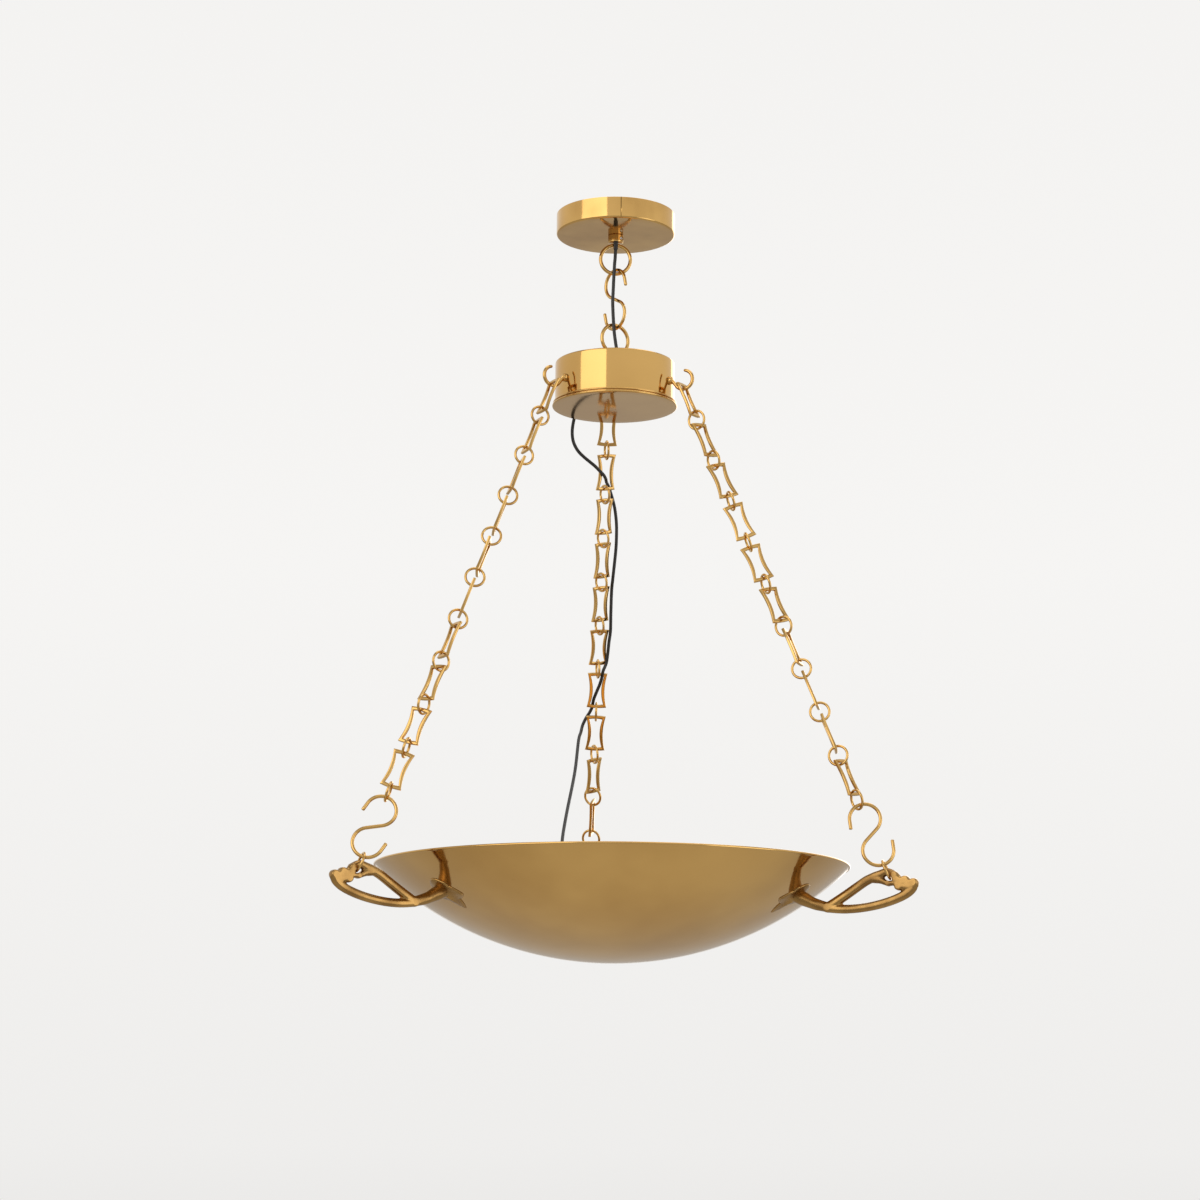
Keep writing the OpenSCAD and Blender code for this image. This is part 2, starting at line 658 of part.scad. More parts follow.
module cast_arm(arm) {
    foot_mid = foot_r + foot_pitch / 2;
    pad_r = foot_pitch / 2 + arm_screw_d + 6;
    bowl_seat = 0.12;
    color(cast_brass) difference() {
        union() {
            rotate([0, 0, arm]) {
                skin(bar_rings(upper_bar));
                skin(bar_rings(lower_bar));
                skin(bar_rings(stem));
                for (lobe = lobes) translate([seat_r + lobe[0], 0, seat_z + lobe[1]]) sphere(lobe[2], $fn = 16);
                for (f = fingers) finger(f[0], f[1]);
            }
            intersection() {
                on_bowl(arm, foot_mid) translate([0, 0, -6]) cylinder(r = pad_r, h = 12, $fn = 48);
                translate([0, 0, ball_z]) sphere(ball_r + 2.4, $fn = 200);
            }
        }
        translate([0, 0, ball_z]) sphere(ball_r + bowl_seat, $fn = 200);
        for (r = [foot_r, foot_r + foot_pitch]) on_bowl(arm, r) translate([0, 0, -1])
            cylinder(d = arm_screw_d + 2 * fit, h = 9, $fn = 24);
    }
}

washer_t = 0.8;
module at_arm_screws() {
    for (arm = arms, r = [foot_r, foot_r + foot_pitch]) on_bowl(arm, r) children();
}

module arm_screws() {
    head_h = 2.4;
    under = -bowl_t - washer_t - 2 * seat_gap;
    color(steel) at_arm_screws() {
        translate([0, 0, under - head_h]) cylinder(d = 2 * arm_screw_d - 0.8, h = head_h);
        translate([0, 0, under - 0.2]) cylinder(d = arm_screw_d, h = 7.5 - under);
    }
}

module arm_washers() {
    color(steel) at_arm_screws() translate([0, 0, -bowl_t - seat_gap - washer_t]) difference() {
        cylinder(d = 2 * arm_screw_d + 1, h = washer_t);
        translate([0, 0, -1]) cylinder(d = arm_screw_d + 2 * fit, h = washer_t + 2);
    }
}

module bowl() {
    color(brass) difference() {
        union() {
            intersection() {
                translate([0, 0, ball_z]) difference() {
                    sphere(ball_r, $fn = 240);
                    sphere(ball_r - bowl_t, $fn = 240);
                }
                translate([0, 0, rim_z - bowl_depth - 5]) cylinder(r = bowl_r + 5, h = bowl_depth + 5, $fn = 240);
            }
            translate([0, 0, rim_z]) rotate_extrude($fn = 240) translate([bowl_r - bowl_t / 2, 0]) circle(rim_bead);
        }
        at_arm_screws() translate([0, 0, -bowl_t - 2]) cylinder(d = arm_screw_d + 4 * fit, h = bowl_t + 4);
    }
}

// The lamps in the bowl
foot_disc_r = 16;
lamp_nut_h = 4;

module tray_stud() {
    low = bowl_wall_z(foot_disc_r) + seat_gap;
    color(brass) {
        translate([0, 0, low]) cylinder(r = foot_disc_r, h = 2);
        translate([0, 0, low]) cylinder(d = stud_d + 6, h = tray_z - low - seat_gap);
        translate([0, 0, low]) cylinder(d = stud_d, h = tray_z + tray_t + lamp_nut_h + 4 - low);
    }
}

module lamp_tray() {
    tab_w = 30;
    color(steel) {
        difference() {
            translate([0, 0, tray_z]) cylinder(d = tray_d, h = tray_t, $fn = 120);
            translate([0, 0, tray_z - 1]) cylinder(d = stud_d + 2 * fit, h = tray_t + 2);
        }
        for (lamp = lamps) rotate([0, 0, lamp]) difference() {
            translate([lamp_in, -tab_w / 2, tray_z + tray_t / 2]) cube([tray_t, tab_w, lamp_up + 12]);
            translate([lamp_in - 1, 0, lamp_z]) rotate([0, 90, 0]) cylinder(d = stud_d + 2 * fit, h = tray_t + 2);
        }
    }
}

holder_x = lamp_in + tray_t + seat_gap;
mouth_x = holder_x + holder_l;
cap_l = 26;
tail = 8;

module lampholder(lamp) {
    color(black) rotate([0, 0, lamp]) difference() {
        union() {
            translate([holder_x, 0, lamp_z]) rotate([0, 90, 0]) cylinder(d = holder_d, h = holder_l);
            translate([lamp_in - tail, 0, lamp_z]) rotate([0, 90, 0]) cylinder(d = stud_d, h = tail + 4);
        }
        translate([mouth_x - cap_l - 0.5, 0, lamp_z]) rotate([0, 90, 0]) cylinder(d = cap_d + 1.5, h = cap_l + 2);
    }
}

module lamp_nuts() {
    color(steel) {
        hex_nut_on(stud_d * 1.7, stud_d + 2 * fit, lamp_nut_h, tray_z + tray_t + seat_gap);
        for (lamp = lamps) rotate([0, 0, lamp]) translate([lamp_in - seat_gap - lamp_nut_h, 0, lamp_z])
            rotate([0, 90, 0]) hex_nut(stud_d * 1.7, stud_d + 2 * fit, lamp_nut_h);
    }
}

module bulb(lamp) {
    neck = 0.5;
    ball_at = bulb_d / 2 + 5;
    color(white, 0.8) rotate([0, 0, lamp]) translate([mouth_x, 0, lamp_z]) rotate([0, 90, 0])
        rotate_extrude() intersection() {
            union() {
                translate([0, ball_at]) circle(d = bulb_d);
                polygon([[0, neck], [cap_d / 2, neck], [bulb_d * 0.36, ball_at - bulb_d * 0.34], [0, ball_at]]);
            }
            square([bulb_d, 3 * bulb_d]);
        }
}

module bulb_caps() {
    color(steel) for (lamp = lamps) rotate([0, 0, lamp]) translate([mouth_x - cap_l, 0, lamp_z])
        rotate([0, 90, 0]) {
            translate([0, 0, 3]) cylinder(d = cap_d, h = cap_l - 3 + 0.4);
            cylinder(d1 = cap_d * 0.4, d2 = cap_d * 0.8, h = 3.2);
        }
}

module bowl_terminal() {
    h = 10;
    color(white) translate([-29, 0, 0]) terminal_block(18, 14, h, tray_z + tray_t + seat_gap + h);
}

module lamp_leads() {
    top = tray_z + tray_t + 10.15;
    end = lamp_in - tail - fit;
    wire_r = 1.5;
    color(white) {
        tube([[-24, 4, top], [-24, 4, top + 3], [-21, 5.5, top + 7], [-12, 8, lamp_z - 6], [4, 8, lamp_z - 2],
            [end * 0.6, end * 0.35, lamp_z], [end * cos(30), end * sin(30), lamp_z]], wire_r, [0.1, 0.2, 1], 6);
        tube([[-24, -4, top], [-24, -4, top + 3], [-21, -8, top + 7], [-15, -14, lamp_z - 6],
            [-6, -20, lamp_z - 1], [0, -27, lamp_z], [0, -end, lamp_z]], wire_r, [0.9, 0.2, 0.3], 6);
        tube([[-33, 4, top], [-33, 4, top + 3], [-31, 4, top + 7], [-24, 5, lamp_z - 6], [-18, 8, lamp_z - 1],
            [-22, 12.7, lamp_z], [-end * cos(30), end * sin(30), lamp_z]], wire_r, [0.1, 0.9, 0.6], 6);
    }
}

module cord_grip() {
    color(black) translate(in_grip) difference() {
        cylinder(d1 = cord_d + 8, d2 = cord_d + 3, h = grip_h);
        translate([0, 0, grip_floor]) cylinder(d = cord_d + 2 * fit, h = grip_h);
    }
}

canopy();
ceiling_bracket();
suspension_bolt();
suspension_nut();
ferrule();
ferrule_screw();
mains_terminal();
canopy_lead();
cord_sleeve();
top_ring();
top_hook();
hub_ring();
hub_drum();
hub_plate();
hub_eye();
hub_hook(left);  // left_hub_hook
hub_hook(right);  // right_hub_hook
hub_hook(back);  // back_hub_hook
hub_nuts();
hub_terminal();
hub_leads();
hub_grommets();
chain_links(left, left_turns);  // left_links
chain_links(right, right_turns);  // right_links
chain_links(back, back_turns);  // back_links
chain_rings(left, left_turns, left_hook_turn);  // left_rings
chain_rings(right, right_turns, right_hook_turn);  // right_rings
chain_rings(back, back_turns, back_hook_turn);  // back_rings
chain_hook(left, left_hook_turn);  // left_hook
chain_hook(right, right_hook_turn);  // right_hook
chain_hook(back, back_hook_turn);  // back_hook
arm_ring(left, left_ring_turn);  // left_arm_ring
arm_ring(right, right_ring_turn);  // right_arm_ring
arm_ring(back, back_ring_turn);  // back_arm_ring
cast_arm(left);  // left_arm
cast_arm(right);  // right_arm
cast_arm(back);  // back_arm
arm_screws();
arm_washers();
bowl();
tray_stud();
lamp_tray();
lamp_nuts();
lampholder(lamps[0]);  // left_lampholder
lampholder(lamps[1]);  // right_lampholder
lampholder(lamps[2]);  // front_lampholder
bulb(lamps[0]);  // left_bulb
bulb(lamps[1]);  // right_bulb
bulb(lamps[2]);  // front_bulb
bulb_caps();
bowl_terminal();
lamp_leads();
cord_grip();
cord([], ferrule_route, [ring_route[1]], ring_side);  // ferrule_cord
cord([near_end(ferrule_route)], ring_route, [hook_route[1]], ring_side);  // ring_cord
cord([near_end(ring_route)], hook_route, [hub_route[1]], ring_side);  // hook_cord
cord([near_end(hook_route)], hub_route, [], ring_side);  // hub_cord
cord([], drum_route, [chain_route[1]], chain_side);  // drum_cord
cord([near_end(drum_route)], chain_route, [bowl_route[1]], chain_side);  // chain_cord
cord([near_end(chain_route)], bowl_route, [], chain_side);  // bowl_cord
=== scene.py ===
"""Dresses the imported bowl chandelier: its looks, lights and camera.

The part hangs from the ceiling at z = 0, with +Z up and the back chain along +Y. Sizes here are in
millimetres, as on a workshop drawing, and become metres where a mesh is made.
"""

import json
import logging
from dataclasses import dataclass
from enum import Enum
from math import acos, asin, atan2, cos, degrees, exp, hypot, pi, radians, sin, sqrt, tanh
from typing import Any, Sequence

import bpy
from mathutils import Matrix, Vector

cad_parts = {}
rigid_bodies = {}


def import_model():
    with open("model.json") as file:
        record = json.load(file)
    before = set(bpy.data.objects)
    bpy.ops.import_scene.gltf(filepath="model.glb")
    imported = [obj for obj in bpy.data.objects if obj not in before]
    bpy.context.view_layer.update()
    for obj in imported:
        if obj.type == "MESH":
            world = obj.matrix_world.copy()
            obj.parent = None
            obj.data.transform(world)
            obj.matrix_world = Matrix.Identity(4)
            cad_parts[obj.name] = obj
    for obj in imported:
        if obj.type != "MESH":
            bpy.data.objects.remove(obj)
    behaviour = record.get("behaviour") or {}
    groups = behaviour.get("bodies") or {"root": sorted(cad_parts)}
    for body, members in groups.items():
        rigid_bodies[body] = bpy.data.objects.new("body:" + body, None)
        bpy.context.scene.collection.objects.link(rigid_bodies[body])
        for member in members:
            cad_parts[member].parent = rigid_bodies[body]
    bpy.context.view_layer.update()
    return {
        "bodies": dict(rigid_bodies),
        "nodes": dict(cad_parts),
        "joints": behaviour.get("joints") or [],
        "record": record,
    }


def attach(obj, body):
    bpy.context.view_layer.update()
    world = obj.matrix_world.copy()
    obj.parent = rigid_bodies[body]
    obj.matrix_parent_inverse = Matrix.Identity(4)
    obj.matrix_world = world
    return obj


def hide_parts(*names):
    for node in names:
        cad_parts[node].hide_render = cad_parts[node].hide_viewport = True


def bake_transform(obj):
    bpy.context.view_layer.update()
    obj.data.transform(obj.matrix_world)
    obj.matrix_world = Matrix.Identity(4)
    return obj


MM = 0.001
LOG = logging.getLogger("chandelier")
Point = Sequence[float]

# In millimetres: where a turned outline starts, just off its axis, and the gap between pieces that touch
CORE = 0.01
GAP = 0.05


def rotate(angle: float, axis: str) -> Matrix:
    """The rotation by an angle in degrees about an axis."""
    return Matrix.Rotation(radians(angle), 4, axis)


def shift(x: float, y: float, z: float) -> Matrix:
    """The move by three distances."""
    return Matrix.Translation((x, y, z))


def full_turn(count: int) -> list[float]:
    """Equal angles all the way round, in degrees."""
    return [i * 360 / count for i in range(count)]


def unit(value: float) -> float:
    """A number kept between 0 and 1."""
    return min(1.0, max(0.0, value))


def eased(t: float) -> float:
    """A number between 0 and 1, with a soft start and end."""
    return t * t * (3 - 2 * t)


class Around(Enum):
    """Things that stand round the lamp, each with its angle in degrees."""

    @property
    def key(self) -> str:
        """The word that starts the names of its pieces."""
        return self.name.lower()

    @property
    def turned(self) -> Matrix:
        """The rotation from the XZ plane to its place."""
        return rotate(self.value, "Z")


class Arm(Around):
    """The three chains and arms."""

    LEFT = 210
    RIGHT = 330
    BACK = 90

    @property
    def body(self) -> str:
        """The moving body that this arm's chain belongs to."""
        return f"{self.key}_chain"


@dataclass(frozen=True)
class Plan:
    """The sizes that several pieces share, in millimetres."""

    canopy_r: float = 78.0
    canopy_h: float = 28.0
    sheet: float = 1.5
    spun_edge: float = 2.5
    ring_d: float = 44.0
    ring_rod: float = 4.8
    hook_rod: float = 4.6
    loop_r: float = 18.8
    hook_l: float = 80.0
    hook_slim: float = 0.1
    tip_turn: float = 76.0
    hang_gap: float = 0.3
    hub_r: float = 78.0
    hub_h: float = 53.0
    eye_c: float = 8.0
    collar_h: float = 1.6
    boss_up: float = 21.0
    hook_out: float = 20.0
    hook_r: float = 12.5
    ring_in: float = 10.2
    chain_c: float = 11.85
    chain_rod: float = 3.3
    window_l: float = 41.0
    chain_gap: float = 0.5
    hook_gap: float = 1.7
    arm_gap: float = 1.0
    pairs: int = 10
    bowl_r: float = 300.0
    bowl_depth: float = 120.0
    bowl_t: float = 1.5
    rim_bead: float = 1.8
    tray_up: float = 22.0
    grip_x: float = -62.0
    exit_turn: float = 118.0
    exit_up: float = 10.0
    seat_r: float = 367.6
    seat_half: float = 4.8
    arm_rise: float = 18.0
    cord_d: float = 4.4

    @property
    def ring_c(self) -> float:
        """Middle radius of the two large rings."""
        return (self.ring_d - self.ring_rod) / 2

    @property
    def eye_z(self) -> float:
        """Height of the ferrule's eye."""
        return -self.canopy_h - 13

    @property
    def meet(self) -> float:
        """Distance between the middles of a ring's rod and a hook's rod."""
        return (self.ring_rod + self.hook_rod) / 2 + self.hang_gap

    @property
    def top_ring_z(self) -> float:
        """Height of the upper ring's middle."""
        return self.eye_z - self.ring_c

    @property
    def top_hook_z(self) -> float:
        """Height of the upper hook's highest rod."""
        return self.top_ring_z - self.ring_c + self.meet

    @property
    def hub_ring_z(self) -> float:
        """Height of the lower ring's middle."""
        return self.top_hook_z - self.hook_l + self.meet - self.ring_c

    @property
    def hub_eye_z(self) -> float:
        """Height of the hub eye's middle."""
        return self.hub_ring_z - self.ring_c + self.meet - self.eye_c

    @property
    def hub_top(self) -> float:
        """Height of the drum's top."""
        return self.hub_eye_z - self.eye_c - self.collar_h

    @property
    def hub_low(self) -> float:
        """Height of the drum's lower edge."""
        return self.hub_top - self.hub_h

    @property
    def chain_r(self) -> float:
        """Radius at which a chain's line starts."""
        return self.hub_r + self.hook_out

    @property
    def chain_z(self) -> float:
        """Height at which a chain's line starts."""
        return self.hub_low + self.boss_up - 0.8 - self.hook_r

    @property
    def pitch(self) -> float:
        """Length of one link and one ring along a chain."""
        return 2 * (self.ring_in - self.chain_gap) + self.window_l

    def ring_s(self, i: int) -> float:
        """Distance down a chain to a ring's middle, the first being 0."""
        first = self.ring_in + self.window_l - self.hook_rod / 2 - self.chain_gap - self.hook_gap
        return first + i * self.pitch

    @property
    def hook_s(self) -> float:
        """Distance down a chain to its hook's highest rod."""
        return self.ring_s(self.pairs - 1) + self.ring_in - self.hook_rod / 2 - self.chain_gap

    @property
    def arm_ring_s(self) -> float:
        """Distance down a chain to the arm's ring."""
        return self.hook_s + self.hook_l - self.hook_rod / 2 - self.chain_gap + self.ring_in

    @property
    def seat_s(self) -> float:
        """Distance down a chain to the middle of the arm's bar."""
        return self.arm_ring_s + self.ring_in - self.arm_gap - self.seat_half / cos(radians(44))

    @property
    def slope(self) -> float:
        """Angle of a chain from the vertical, in radians."""
        return asin((self.seat_r - self.chain_r) / self.seat_s)

    @property
    def seat_z(self) -> float:
        """Height of the middle of the arm's bar."""
        return self.chain_z - self.seat_s * cos(self.slope)

    @property
    def rim_z(self) -> float:
        """Height of the bowl's rim."""
        return self.seat_z + self.arm_rise

    @property
    def tray_z(self) -> float:
        """Height of the underside of the tray in the bowl."""
        return self.rim_z - self.bowl_depth + self.bowl_t + self.tray_up

    @property
    def ball_r(self) -> float:
        """Radius of the sphere that the bowl is part of."""
        return (self.bowl_r**2 + self.bowl_depth**2) / (2 * self.bowl_depth)

    @property
    def ball_z(self) -> float:
        """Height of that sphere's middle."""
        return self.rim_z - self.bowl_depth + self.ball_r

    def on_chain(self, arm: Arm | None, s: float, turn: float) -> Matrix:
        """Place on a chain.

        Args:
            arm: The chain's arm, or None for one in the XZ plane.
            s: Distance down the chain, in millimetres.
            turn: Turn about the chain, in degrees.

        Returns:
            The matrix that takes a piece drawn about the origin, with +Z up the chain, to its place.
        """
        return (rotate(arm.value if arm else 0, "Z") @ shift(self.chain_r, 0, self.chain_z)
                @ Matrix.Rotation(-self.slope, 4, "Y") @ shift(0, 0, -s) @ rotate(turn, "Z"))


PLAN = Plan()


class Shape:
    """A mesh in the making: points in millimetres, and faces."""

    def __init__(self) -> None:
        """Starts an empty shape."""
        self.points: list[Vector] = []
        self.faces: list[tuple[int, ...]] = []

    def grid(self, rows: Sequence[Sequence[Point]], round_rows: bool = True,
             round_columns: bool = False) -> None:
        """Adds a skin over rows of points.

        Args:
            rows: Rows of the same number of points.
            round_rows: Whether each row closes on itself.
            round_columns: Whether the last row joins the first.
        """
        start, n = len(self.points), len(rows[0])
        for row in rows:
            self.points.extend(Vector(p) for p in row)
        last = len(rows) if round_columns else len(rows) - 1
        for i in range(last):
            a, b = start + i * n, start + (i + 1) % len(rows) * n
            for k in range(n if round_rows else n - 1):
                j = (k + 1) % n
                self.faces.append((a + k, a + j, b + j, b + k))

    def cap(self, row: Sequence[Point], forward: bool) -> None:
        """Closes a round row with one flat face.

        Args:
            row: The row's points.
            forward: Whether the face keeps the row's order.
        """
        start = len(self.points)
        self.points.extend(Vector(p) for p in row)
        order = list(range(start, start + len(row)))
        self.faces.append(tuple(order if forward else reversed(order)))

    def spin(self, outline: Sequence[tuple[float, float]], angles: Sequence[float],
             closed: bool = False) -> None:
        """Turns an outline about Z.

        Args:
            outline: Pairs of radius and height, running so that the metal lies on its left.
            angles: The angles round Z, in degrees, that get a column each.
            closed: Whether the outline closes on itself.
        """
        rows = [[(r * cos(radians(a)), r * sin(radians(a)), z) for a in angles] for r, z in outline]
        self.grid(rows, True, closed)

    def sweep(self, line: Sequence[Point], across: Sequence[float] | float,
              along_side: Sequence[float] | None = None, side: Point = (0, 0, 1), sides: int = 20,
              dome: bool = True, ways: Sequence[Vector] | None = None) -> None:
        """Runs a round or oval rod along a line.

        Args:
            line: The points of the rod's middle.
            across: The rod's radius at each point, or one radius for all, square to the side direction.
            along_side: The radius at each point in the side direction, where it differs.
            side: A direction that is nowhere along the line.
            sides: Points round the rod.
            dome: Whether the ends are round.
            ways: The line's direction at each point, where the points alone don't give it.
        """
        p = [Vector(q) for q in line]
        one = list(across) if isinstance(across, (list, tuple)) else [across] * len(p)
        two = list(along_side) if along_side is not None else one
        w = list(ways) if ways else headings(p)

        def row(i: int, bend: float, push: float) -> list[Vector]:
            """The points round the rod at one place.

            Args:
                i: The place's number.
                bend: How far round the rod's end it lies, in degrees.
                push: 1 or -1 to go on along the rod or back, where the end is round.

            Returns:
                The points.
            """
            out = w[i].cross(Vector(side)).normalized()
            up = out.cross(w[i])
            at = p[i] + w[i] * push * min(one[i], two[i]) * sin(radians(bend))
            a, b = one[i] * cos(radians(bend)), two[i] * cos(radians(bend))
            turns = [2 * pi * k / sides for k in range(sides)]
            return [at + out * a * cos(turn) + up * b * sin(turn) for turn in turns]

        bends = (78, 60, 40, 20) if dome else ()
        rows = [row(0, b, -1) for b in bends] + [row(i, 0, 0) for i in range(len(p))]
        rows += [row(len(p) - 1, b, 1) for b in reversed(bends)]
        self.grid(rows)
        self.cap(rows[0], False)
        self.cap(rows[-1], True)

    def ring(self, middle_r: float, rod: float, place: Matrix, steps: int = 72, sides: int = 20,
             seam: float = 0.06) -> None:
        """Adds a ring of round rod, with the faint joint where its ends were brazed.

        Args:
            middle_r: Radius of the rod's middle.
            rod: The rod's diameter.
            place: Where the ring goes; it is drawn in the XY plane.
            steps: Columns round the ring.
            sides: Points round the rod.
            seam: Depth of the joint's groove.
        """
        angles = [360 * i / steps for i in range(1, steps)] + [-1.6, -0.7, 0, 0.7, 1.6]
        rows = []
        for a in angles:
            r = rod / 2 - (seam if abs(a) < 0.5 else 0)
            way = Vector((cos(radians(a)), sin(radians(a)), 0))
            rows.append([place @ (way * (middle_r + r * cos(2 * pi * k / sides))
                                  + Vector((0, 0, r * sin(2 * pi * k / sides)))) for k in range(sides)])
        self.grid([list(reversed(row)) for row in rows], True, True)

    def add(self, other: "Shape", place: Matrix) -> None:
        """Adds another shape at a place.

        Args:
            other: The shape to copy.
            place: The matrix that puts it there.
        """
        start = len(self.points)
        self.points.extend(place @ p for p in other.points)
        self.faces.extend(tuple(start + i for i in face) for face in other.faces)

    def moved(self, place: Matrix) -> "Shape":
        """Copies the shape to a place.

        Args:
            place: The place that the copy is moved and turned to.

        Returns:
            The copy.
        """
        copy = Shape()
        copy.add(self, place)
        return copy

    def mesh(self, name: str, sharp: float = 35.0) -> bpy.types.Mesh:
        """Makes the mesh, in metres, with smooth faces and sharp creases.

        Args:
            name: The mesh's name.
            sharp: The angle, in degrees, from which an edge is a crease.

        Returns:
            The mesh.
        """
        made = bpy.data.meshes.new(name)
        made.from_pydata([p * MM for p in self.points], [], self.faces)
        made.validate()
        made.shade_smooth()
        made.set_sharp_from_angle(angle=radians(sharp))
        return made


def arc(middle: Point, radius: float, start: float, end: float, steps: int) -> list[tuple[float, float]]:
    """Points of an arc in a plane.

    Args:
        middle: The arc's middle, two numbers.
        radius: Its radius.
        start: Its first angle, in degrees.
        end: Its last angle, in degrees.
        steps: How many equal steps it has.

    Returns:
        Its points, one more than the steps.
    """
    turns = [radians(start + (end - start) * i / steps) for i in range(steps + 1)]
    return [(middle[0] + radius * cos(t), middle[1] + radius * sin(t)) for t in turns]


def headings(p: Sequence[Vector]) -> list[Vector]:
    """The direction of a line at each of its points, from the points beside it."""
    return [(p[min(i + 1, len(p) - 1)] - p[max(i - 1, 0)]).normalized() for i in range(len(p))]


def smooth_line(points: Sequence[Point], step: float, marks: list[int] | None = None) -> list[Vector]:
    """Runs a smooth line through points.

    Args:
        points: The points, in order.
        step: About how far apart the new points are, in the points' unit.
        marks: A list that gets the place of each given point in the line.

    Returns:
        The line's points, with the given ones among them.
    """
    p = [Vector(q) for q in points]
    p = [2 * p[0] - p[1], *p, 2 * p[-1] - p[-2]]
    marks = [] if marks is None else marks
    line = []
    for a, b, c, d in zip(p, p[1:], p[2:], p[3:]):
        n = max(1, round((c - b).length / step))
        marks.append(len(line))
        for i in range(n):
            t = i / n
            line.append(0.5 * (2 * b + (c - a) * t + (2 * a - 5 * b + 4 * c - d) * t**2
                               + (3 * b - a - 3 * c + d) * t**3))
    marks.append(len(line))
    return [*line, p[-2]]


class Wire:
    """A value in a material: a node's output, on which sums can be written."""

    def __init__(self, bench: "Bench", socket: bpy.types.NodeSocket | None) -> None:
        """Wraps an output.

        Args:
            bench: The material that the output is in.
            socket: The output.
        """
        self.bench = bench
        self.socket = socket

    def _math(self, operation: str, a: Any, b: Any = 0.0, clamp: bool = False) -> "Wire":
        """One Math node on two values."""
        return self.bench.node("ShaderNodeMath", {"operation": operation, "use_clamp": clamp}, {0: a, 1: b})

    def __add__(self, other: Any) -> "Wire":
        """Sum."""
        return self._math("ADD", self, other)

    def __radd__(self, other: Any) -> "Wire":
        """Sum, the other way round."""
        return self._math("ADD", other, self)

    def __sub__(self, other: Any) -> "Wire":
        """Difference."""
        return self._math("SUBTRACT", self, other)

    def __rsub__(self, other: Any) -> "Wire":
        """Difference, the other way round."""
        return self._math("SUBTRACT", other, self)

    def __mul__(self, other: Any) -> "Wire":
        """Product."""
        return self._math("MULTIPLY", self, other)

    def __rmul__(self, other: Any) -> "Wire":
        """Product, the other way round."""
        return self._math("MULTIPLY", other, self)

    def __pow__(self, other: Any) -> "Wire":
        """Power."""
        return self._math("POWER", self, other)

    def __rpow__(self, other: Any) -> "Wire":
        """Power, the other way round."""
        return self._math("POWER", other, self)

    def clamped(self) -> "Wire":
        """The value kept between 0 and 1."""
        return self._math("ADD", self, 0.0, True)


class Bench:
    """Builds the nodes of one material, or of the world."""

    def __init__(self, owner: bpy.types.Material | bpy.types.World) -> None:
        """Empties the node tree that it builds in.

        Args:
            owner: The material or the world.
        """
        owner.use_nodes = True
        self.owner = owner
        self.nodes = owner.node_tree.nodes
        self.links = owner.node_tree.links
        self.nodes.clear()

    def node(self, kind: str, settings: dict[str, Any] | None = None, sockets: dict[Any, Any] | None = None,
             out: int | str = 0) -> Wire:
        """Adds a node.

        Args:
            kind: The node's type.
            settings: Its settings, which are set first; stops are a ramp's colours.
            sockets: A value or a wire for each input that isn't left as it is.
            out: The output that is wanted.

        Returns:
            The output.
        """
        made = self.nodes.new(kind)
        for key, value in (settings or {}).items():
            if key == "stops":
                ramp = made.color_ramp.elements
                while len(ramp) < len(value):
                    ramp.new(0.5)
                for stop, (at, colour) in zip(ramp, value):
                    stop.position, stop.color = at, (*colour, 1.0)
            else:
                setattr(made, key, value)
        for key, value in (sockets or {}).items():
            if isinstance(value, Wire):
                self.links.new(value.socket, made.inputs[key])
            else:
                made.inputs[key].default_value = value
        return Wire(self, made.outputs[out] if made.outputs else None)

    def place(self) -> Wire:
        """The surface's own coordinates, in metres."""
        return self.node("ShaderNodeTexCoord", out="Object")

    def noise(self, scale: float, detail: float = 3.0, stretch: Point = (1, 1, 1),
              rough: float = 0.5) -> Wire:
        """A soft random pattern.

        Args:
            scale: Features per metre, roughly.
            detail: How many finer layers it has.
            stretch: How much it is squeezed along X, Y and Z.
            rough: How strong the finer layers are.

        Returns:
            Its value, about 0.5 in the middle.
        """
        at = self.node("ShaderNodeMapping", {}, {"Vector": self.place(), "Scale": tuple(stretch)})
        return self.node("ShaderNodeTexNoise", {}, {"Vector": at, "Scale": scale, "Detail": detail,
                                                    "Roughness": rough})

    def step(self, value: Wire, low: float, high: float) -> Wire:
        """A smooth rise from 0 at one value to 1 at another.

        Args:
            value: What is measured.
            low: Where the rise starts.
            high: Where it ends.

        Returns:
            The rise.
        """
        return self.node("ShaderNodeMapRange", {"interpolation_type": "SMOOTHSTEP"},
                         {"Value": value, "From Min": low, "From Max": high})

    def mix(self, share: Any, a: Any, b: Any) -> Wire:
        """A mix of two colours.

        Args:
            share: How much of the second one.
            a: The first colour.
            b: The second colour.

        Returns:
            The mixed colour.
        """
        return self.node("ShaderNodeMix", {"data_type": "RGBA"},
                         {0: share, 6: a if isinstance(a, Wire) else (*a, 1.0),
                          7: b if isinstance(b, Wire) else (*b, 1.0)}, out=2)

    def bump(self, height: Wire, strength: float, distance: float) -> Wire:
        """Relief from a height.

        Args:
            height: The height.
            strength: How strong the relief is, from 0 to 1.
            distance: How high a height of 1 is, in metres.

        Returns:
            The bent normal.
        """
        return self.node("ShaderNodeBump", {}, {"Height": height, "Strength": strength, "Distance": distance})

    def finish(self, sockets: dict[str, Any]) -> bpy.types.Material:
        """Adds the shader and the output.

        Args:
            sockets: The shader's values and wires.

        Returns:
            The finished material.
        """
        surface = self.node("ShaderNodeBsdfPrincipled", {}, sockets)
        self.node("ShaderNodeOutputMaterial", {}, {"Surface": surface})
        return self.owner


class Grain(Enum):
    """How a metal surface was worked."""

    SPUN = "spun"
    DRAWN = "drawn"
    CAST = "cast"


